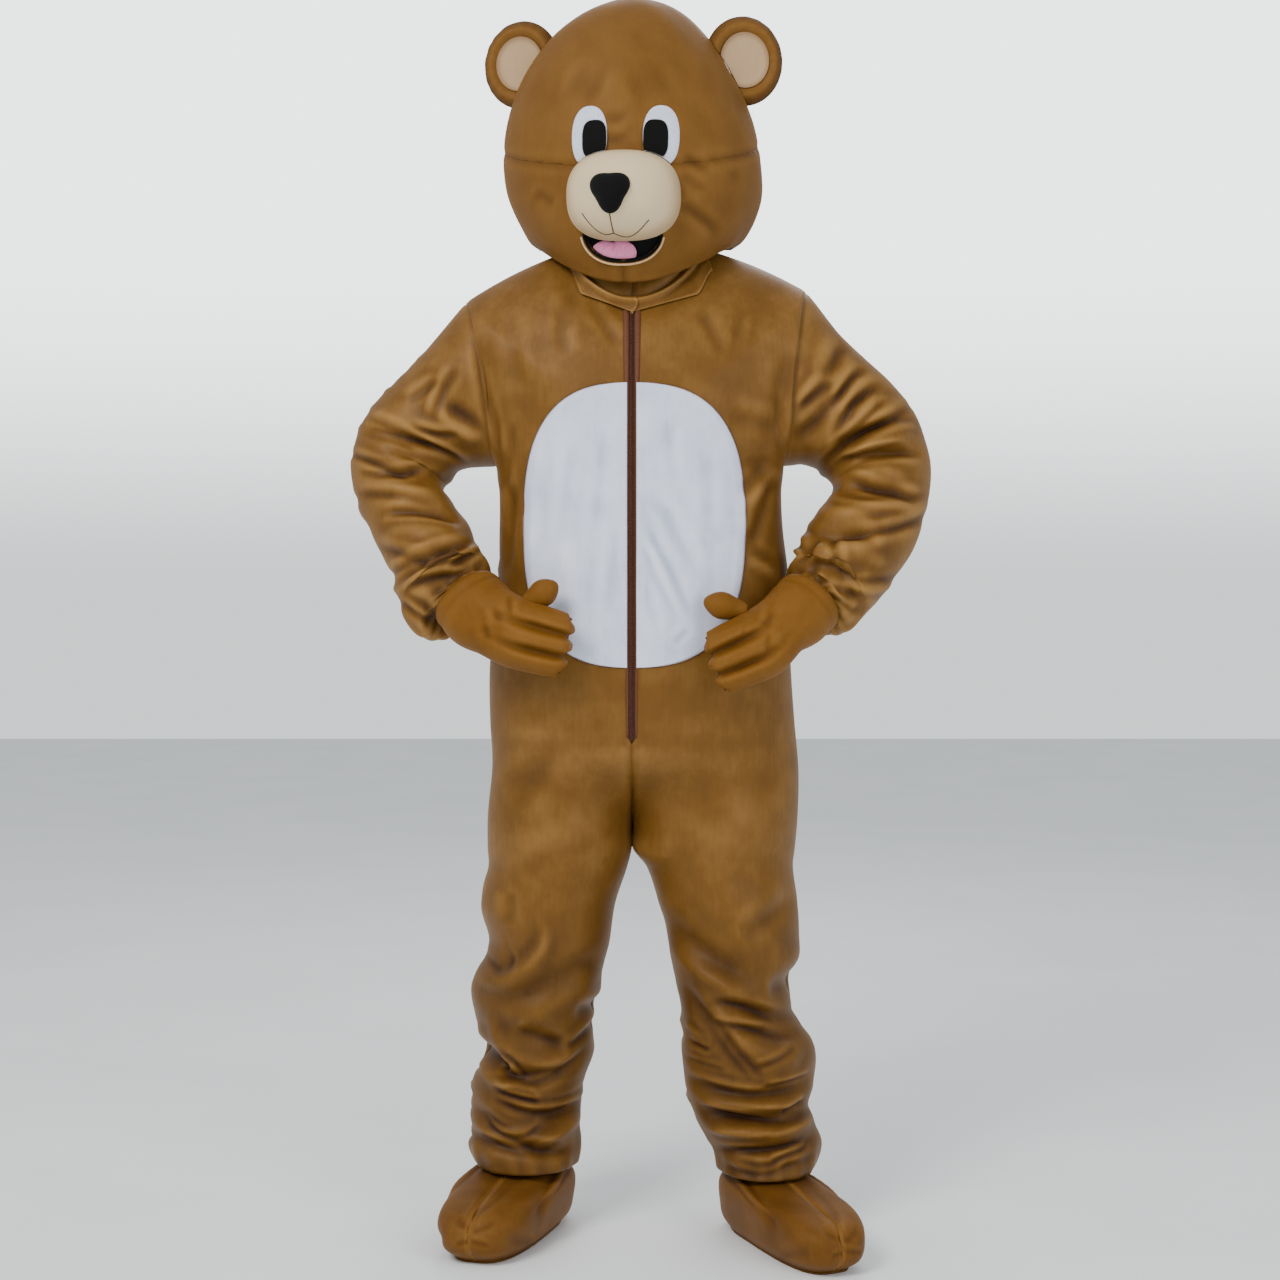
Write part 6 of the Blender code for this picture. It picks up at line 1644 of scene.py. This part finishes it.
class COSTUME_OT_head(bpy.types.Operator):
    """Makes the head's five padded panels, with the mouth cut out"""

    bl_idname = "costume.head"
    bl_label = "Head"

    def shell(self):
        """The whole padded shell, with its folds and seams."""
        steps = head_step(np.linspace(0, 1, 121)[:, None])
        facing = (np.arange(192) * 360 / 192 - 180)[None, :]
        head = Cloth("head", head_point(steps, facing), "head velour", PADDED_WALL, True)
        head.normals[0] = (0, 0, 1)
        x, y, z = (head.places[..., k] for k in range(3))
        ahead = smooth(-head.normals[..., 1] / 0.3)
        push = ahead * press(HEAD_FOLDS, x, z)
        push += 0.002 * ruck(x / 0.06 + y / 0.05, z / 0.05, 9.3)
        cheek = z - (CHEEK_SEAM[0] + CHEEK_SEAM[1] * y)
        push += seam_hollow(y - CROWN_SEAM)
        push += np.where(y < CROWN_SEAM, seam_hollow(cheek), 0.0)
        push += np.where((y > CROWN_SEAM) | (z < 1.56), seam_hollow(x), 0.0)
        head.push(push)
        head.settle()
        head.normals[0] = (0, 0, 1)
        # Painted shade in the creases and painted highlight on the ridges.
        head.shade_and_highlight = head.hollows(0.012)
        return head

    def cut_mouth(self, bm):
        """Cuts the mouth's opening, with its rim drawn onto the mouth's own outline."""

        def within(place):
            """Whether a place of the shell is in the mouth's opening."""
            above = place.z + CARRY > MOUTH_TOP
            return place.y < 0 and not above and inside(MOUTH, place.x, place.z + CARRY)

        gone = [face for face in bm.faces if within(face.calc_center_median())]
        bmesh.ops.delete(bm, geom=gone, context="FACES")
        for vert in bm.verts:
            x, z = vert.co.x, vert.co.z + CARRY
            if not vert.is_boundary or vert.co.y > 0 or not inside(MOUTH, x, z, 0.012):
                continue
            middle_x, middle_z = MOUTH["centre"]
            angle = math.atan2(z - middle_z, x - middle_x)
            if angle < 0:
                reach = float(outline(MOUTH, np.array(angle)))
                x = middle_x + reach * math.cos(angle)
                z = middle_z + reach * math.sin(angle)
                vert.co = Vector(head_face(np.array([x]), np.array([z]))[0]) - DOWN

    def execute(self, context):
        bm = self.shell().build()
        self.cut_mouth(bm)
        cuts = (
            ((0, CROWN_SEAM, 0), (0, 1, 0), lambda at: True),
            ((0, 0, CHEEK_SEAM[0] - CARRY), (0, -CHEEK_SEAM[1], 1), lambda at: at.y < CROWN_SEAM),
            ((0, 0, 0), (1, 0, 0), lambda at: at.y > CROWN_SEAM or at.z + CARRY < 1.60),
        )
        for place, normal, wanted in cuts:
            faces = {face for face in bm.faces if wanted(face.calc_center_median())}
            edges = {edge for face in faces for edge in face.edges}
            geom = [*faces, *edges, *{vert for face in faces for vert in face.verts}]
            bmesh.ops.bisect_plane(bm, geom=geom, dist=WELD, plane_co=place, plane_no=normal)
        panels = {}
        for face in bm.faces:
            at = face.calc_center_median()
            side = "left" if at.x > 0 else "right"
            if at.y > CROWN_SEAM:
                name = f"head_back_{side}"
            elif at.z + CARRY > CHEEK_SEAM[0] + CHEEK_SEAM[1] * at.y:
                name = "head_brow"
            else:
                name = f"head_cheek_{side}"
            panels.setdefault(name, set()).add(face.index)
        whole = bpy.data.meshes.new("head")
        bm.to_mesh(whole)
        bm.free()
        for name, wanted in panels.items():
            part = bmesh.new()
            part.from_mesh(whole)
            part.faces.ensure_lookup_table()
            gone = [face for face in part.faces if face.index not in wanted]
            bmesh.ops.delete(part, geom=gone, context="FACES")
            shell, node = name.replace("head", "shell"), [name]
            piece = finish_piece(
                shell, part, "head velour", node, HEAD_TURN, PADDED_WALL
            )
        bpy.data.meshes.remove(whole)
        return {"FINISHED"}


class COSTUME_OT_ears(bpy.types.Operator):
    """Makes both ears with their pale linings, cut to the head"""

    bl_idname = "costume.ears"
    bl_label = "Ears"

    def execute(self, context):
        bm = bmesh.new()
        bmesh.ops.create_uvsphere(bm, u_segments=96, v_segments=72, radius=1.0)
        for vert in bm.verts:
            facing = math.degrees(math.atan2(vert.co.x, -vert.co.y))
            share = math.degrees(math.acos(max(min(vert.co.z, 1), -1))) / 180
            place = head_point(np.array(head_step(share)), np.array(facing), np.array(SEAM_GAP))
            vert.co = Vector(place) - DOWN
        bmesh.ops.recalc_face_normals(bm, faces=bm.faces)
        bmesh.ops.transform(bm, matrix=HEAD_TURN, verts=bm.verts)
        mesh = bpy.data.meshes.new("head_form")
        bm.to_mesh(mesh)
        bm.free()
        form = bpy.data.objects.new("head_form", mesh)
        bpy.context.scene.collection.objects.link(form)
        for side, sign in SIDES.items():
            half_x, half_z = EARS[side]
            lean = math.radians(EAR_TURN) * sign
            middle = np.array(EAR_CENTRE) * (sign, 1, 1)

            def base(across, up, rise):
                """Places on the ear's own plane, raised forward."""
                x = across * math.cos(lean) + rise * math.sin(lean)
                y = across * math.sin(lean) - rise * math.cos(lean)
                return middle + spots(x, y, up)

            def ear_edge(angle):
                """The ear's outline, as distances from its middle."""
                return 1 / np.hypot(np.cos(angle) / half_x, np.sin(angle) / half_z)

            def cup(share):
                """The ear's thickness: a roll round a hollow."""
                return 0.003 + 0.013 * bell(share - 0.80, 0.20)

            def front(share, angle):
                """The ear's front, gathered toward its edge."""
                gathers = 0.0010 * np.sin(angle * 17 + 1.3 * np.sin(5 * angle))
                gathers *= smooth((share - 0.5) / 0.5) * (share < 0.999)
                return cup(share) * np.sqrt(1 - np.minimum(share, 1) ** 6) + gathers

            def round_base(across, up, rise):
                """The ear's plane, with its back rounded out."""
                share = np.clip(np.hypot(across / half_x, up / half_z), 0, 1)
                behind = -EAR_BACK * np.sqrt(1 - share**6)
                return base(across, up, np.where(rise > 0, rise, behind))

            def lining_base(across, up, rise):
                """The ear's front, for its lining to lie on."""
                share = np.hypot(across / half_x, up / half_z)
                return base(across, up, cup(share) + 0.0022 + rise)

            ear = pad_piece(
                f"ear_{side}_roll",
                (0, 0),
                ear_edge,
                round_base,
                front,
                "head velour",
                f"ear_{side}",
            )
            lining = pad_piece(
                f"ear_{side}_inside",
                (0, 0),
                lambda angle: EAR_INNER * ear_edge(angle),
                lining_base,
                lambda share, angle: 0.0015 * np.sqrt(1 - np.minimum(share, 1) ** 4) + 0.0001,
                "ear plush",
                f"ear_lining_{side}",
            )
            for piece in (ear, lining):
                cut = piece.modifiers.new("Cut", "BOOLEAN")
                cut.operation = "DIFFERENCE"
                cut.solver = "EXACT"
                cut.object = form
                bake(piece)
        bpy.data.objects.remove(form)
        return {"FINISHED"}


# -------------------------------------------------------------------------- the face


def muzzle_place(x, z, rise):
    """The head's face moved straight forward."""
    place = head_face(x, z, LAY_GAP)
    place[..., 1] -= rise
    return place


def muzzle_swell(x, z):
    """How far the muzzle stands out of the head."""
    dx, dz = x - MUZZLE["centre"][0], z - MUZZLE["centre"][1]
    share = np.hypot(dx, dz) / outline(MUZZLE, np.arctan2(dz, dx))
    return MUZZLE_REACH * (1 - np.minimum(share, 0.999) ** 2.2) ** 0.5


def muzzle_front(x, z, rise):
    """The muzzle's own front, moved forward."""
    return muzzle_place(x, z, muzzle_swell(x, z) + rise)


def mouth_line(start, outside):
    """Places that far outside the mouth's edge, from start degrees through its foot."""
    angle = np.radians(np.linspace(start, 540 - start, 90))
    reach = outline(MOUTH, angle) + outside
    return MOUTH["centre"][0] + reach * np.cos(angle), MOUTH["centre"][1] + reach * np.sin(angle)


class COSTUME_OT_face(bpy.types.Operator):
    """Makes the muzzle, nose, eyes, mouth and tongue, and the drawn smile"""

    bl_idname = "costume.face"
    bl_label = "Face"

    def execute(self, context):
        muzzle = pad_piece(
            "muzzle_pad",
            MUZZLE["centre"],
            lambda angle: outline(MUZZLE, angle),
            muzzle_place,
            dome(MUZZLE_REACH, 2.2),
            "cream plush",
            "muzzle",
            grid=(128, 96),
        )
        nose = pad_piece(
            "nose_pad",
            NOSE["centre"],
            lambda angle: outline(NOSE, angle) * (1 + NOSE_CORNERS * np.sin(3 * angle)),
            lambda x, z, rise: muzzle_front(x, z, 0.0022 + rise),
            dome(NOSE_REACH, 2.6),
            "black felt",
            "nose",
        )
        over_eye = 2 * LAY_GAP + EYE_RISE + SEAM_GAP
        for side, sign in SIDES.items():
            for name, shape, colour, under, rise in (
                ("eye", EYE, "white", LAY_GAP, EYE_RISE),
                ("pupil", PUPIL, "black", over_eye, PUPIL_RISE),
            ):

                def seen(x, z, sign=sign):
                    """Whether places are clear of the muzzle."""
                    return ~inside(MUZZLE, x * sign + EYES_SHIFT, z, 0.0012)

                def edge(angle, shape=shape, seen=seen):
                    """The felt's outline, cut away along the muzzle."""
                    return draw_in(seen, shape["centre"], outline(shape, angle), angle)

                def base(x, z, offset, sign=sign, under=under):
                    """The head's face under the felt."""
                    return head_face(x * sign + EYES_SHIFT, z, under + offset)

                piece = pad_piece(
                    f"{name}_{side}_felt",
                    shape["centre"],
                    edge,
                    base,
                    dome(rise, 4),
                    f"{colour} felt",
                    f"{name}_{side}",
                    grid=(96, 24),
                )
        cloth = pad_piece(
            "mouth_felt",
            MOUTH["centre"],
            lambda angle: outline(MOUTH, angle) + 0.005,
            lambda x, z, rise: head_face(x, z, -PADDED_WALL - FELT - 5 * LAY_GAP + rise),
            lambda share, angle: FELT * (1 - np.minimum(share, 1) ** 2.2) ** 0.05 + SEAM_GAP,
            "black felt",
            "mouth_cloth",
            grid=(64, 24),
        )

        def tongue_edge(angle):
            """The tongue's outline, notched on top and kept inside the mouth."""
            notch = TONGUE_NOTCH * bell(angle - math.pi / 2, 0.35)
            reach = outline(TONGUE, angle) * (1 - notch)
            return draw_in(lambda x, z: inside(MOUTH, x, z, -0.003), TONGUE["centre"], reach, angle)

        def tongue_profile(share, angle):
            """A dome with a groove down from the notch."""
            groove = 0.35 * bell(angle - math.pi / 2, 0.22) * share
            return TONGUE_RISE * (1 - np.minimum(share, 1) ** 2.2) ** 0.5 * (1 - groove) + SEAM_GAP

        tongue = pad_piece(
            "tongue_pad",
            TONGUE["centre"],
            tongue_edge,
            lambda x, z, rise: head_face(x, z, -PADDED_WALL - LAY_GAP + rise),
            tongue_profile,
            "pink felt",
            "tongue",
        )
        self.band()
        self.lip()
        self.smile()
        return {"FINISHED"}

    def band(self):
        """The felt band that covers the cut edge of the head's wall round the mouth."""
        x, z = mouth_line(180, -0.0012)
        deep = np.linspace(-0.0005, -PADDED_WALL - 0.0030, 5)[None, :]
        places = head_face(x[:, None], z[:, None], deep)
        band = Cloth("mouth_band", places, "black felt", 0.0008)
        sew(band, 1, turn=HEAD_TURN)

    def lip(self):
        """The pale binding round the mouth's edge."""
        x, z = mouth_line(186, 0.001)
        free = ~inside(MUZZLE, x, z, 0.004)
        line, thick = head_face(x[free], z[free], LIP_RADIUS), 0.6 * LIP_RADIUS
        piece = thread_piece(
            "lip_binding", [line], thick, "lip binding", 12, HEAD_TURN
        )
        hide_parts("lip_trim")

    def smile(self):
        """The threads sewn down from the nose and along the smile."""
        drop = np.linspace(0, 1, 16)
        lines = [muzzle_front(lerp(-0.012, -0.009, drop), lerp(1.521, 1.494, drop), 0.0006)]
        bend = np.linspace(0, 1, 28)
        for reach, rise, sag in ((-0.044, 0.027, 0.004), (0.052, 0.016, 0.007)):
            height = 1.4935 + rise * bend**2 - sag * np.sin(math.pi * bend)
            lines.append(muzzle_front(-0.009 + reach * bend, height, 0.0006))
        thread_piece("smile_thread", lines, 0.0009, "brown thread", 6, HEAD_TURN)


# --------------------------------------------------------------- the stage and panel

# Each soft light's place, what it faces, its width, its power and its colour.
LIGHTS = {
    "key": ((-1.9, -3.0, 2.1), (0, 0, -0.35), 1.6, 125, (1.0, 0.98, 0.95)),
    "fill": ((2.2, -3.0, 0.4), (0, 0, -0.5), 1.6, 38, (0.97, 0.98, 1.0)),
    "rim": ((0.4, 2.4, 2.0), (0, 0, -0.2), 2.0, 40, (1.0, 1.0, 1.0)),
}
CAMERA_PLACE, CAMERA_AIM = (0.012, -3.6, -0.39), (0.012, 0, -0.539)
CAMERA_LENS = 66.4
FLOOR_SIZE = 9.0
BACKDROP_STRENGTH = 0.70


class COSTUME_OT_stage(bpy.types.Operator):
    """Sets the floor, the soft lights and the camera"""

    bl_idname = "costume.stage"
    bl_label = "Stage"

    def execute(self, context):
        bm = bmesh.new()
        bmesh.ops.create_grid(bm, x_segments=1, y_segments=1, size=FLOOR_SIZE)
        bmesh.ops.translate(bm, verts=bm.verts, vec=(0, 0, -CARRY - 0.0005))
        mesh = bpy.data.meshes.new("floor")
        bm.to_mesh(mesh)
        bm.free()
        mesh.materials.append(finish("floor paint"))
        floor = bpy.data.objects.new("floor", mesh)
        context.scene.collection.objects.link(floor)
        world = bpy.data.worlds.new("studio")
        world.use_nodes = True
        tree = world.node_tree
        backdrop = tree.nodes["Background"]
        backdrop.inputs["Color"].default_value = (*sizes().floor_colour, 1)
        backdrop.inputs["Strength"].default_value = BACKDROP_STRENGTH
        # The wall that is seen is lit by itself, more and more with its height.
        look = add_node(tree, "TexCoord").outputs["Generated"]
        height = add_node(tree, "SeparateXYZ", {0: look}).outputs["Z"]
        rise = {"Value": height, "From Min": -0.02, "From Max": 0.12, "To Min": 1.15, "To Max": 3.2}
        glow = add_node(tree, "MapRange", rise, interpolation_type="SMOOTHSTEP").outputs[0]
        wall = {"Color": (*sizes().floor_colour, 1), "Strength": glow}
        seen = add_node(tree, "Background", wall).outputs[0]
        camera_ray = add_node(tree, "LightPath").outputs["Is Camera Ray"]
        mixed = {"Fac": camera_ray, 1: backdrop.outputs[0], 2: seen}
        both = add_node(tree, "MixShader", mixed)
        tree.links.new(both.outputs[0], tree.nodes["World Output"].inputs["Surface"])
        context.scene.world = world
        for name, (place, aim, width, watts, colour) in LIGHTS.items():
            data = bpy.data.lights.new(name, "AREA")
            data.shape = "SQUARE"
            data.size = width
            data.energy = watts
            data.color = colour
            lamp = bpy.data.objects.new(name, data)
            context.scene.collection.objects.link(lamp)
            lamp.location = place
            lamp.rotation_euler = (Vector(aim) - Vector(place)).to_track_quat("-Z", "Y").to_euler()
        lens = bpy.data.cameras.new("camera")
        lens.lens = CAMERA_LENS
        lens.sensor_width = 36
        camera = bpy.data.objects.new("camera", lens)
        context.scene.collection.objects.link(camera)
        camera.location = CAMERA_PLACE
        aim = Vector(CAMERA_AIM) - camera.location
        camera.rotation_euler = aim.to_track_quat("-Z", "Y").to_euler()
        context.scene.camera = camera
        return {"FINISHED"}


class COSTUME_PT_panel(bpy.types.Panel):
    """Lists the costume's pieces and sizes"""

    bl_idname = "COSTUME_PT_panel"
    bl_label = "Bear Costume"
    bl_space_type = "VIEW_3D"
    bl_region_type = "UI"
    bl_category = "Costume"

    def draw(self, context):
        for name in CostumeSizes.__annotations__:
            self.layout.prop(context.scene.costume_sizes, name)
        for operator in OPERATORS:
            self.layout.operator(operator.bl_idname)


OPERATORS = (
    COSTUME_OT_stage,
    COSTUME_OT_suit,
    COSTUME_OT_collar,
    COSTUME_OT_belly,
    COSTUME_OT_zip,
    COSTUME_OT_mittens,
    COSTUME_OT_shoes,
    COSTUME_OT_head,
    COSTUME_OT_ears,
    COSTUME_OT_face,
)


def register():
    """Adds the costume's sizes, steps and sidebar panel."""
    for made in (CostumeSizes, *OPERATORS, COSTUME_PT_panel):
        bpy.utils.register_class(made)
    bpy.types.Scene.costume_sizes = PointerProperty(type=CostumeSizes)


def unregister():
    """Takes them away again."""
    del bpy.types.Scene.costume_sizes
    for made in (COSTUME_PT_panel, *reversed(OPERATORS), CostumeSizes):
        bpy.utils.unregister_class(made)


def main():
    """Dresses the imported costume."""
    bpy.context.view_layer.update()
    register()
    for operator in OPERATORS:
        family, name = operator.bl_idname.split(".")
        getattr(getattr(bpy.ops, family), name)()


if __name__ == "__main__":
    main()
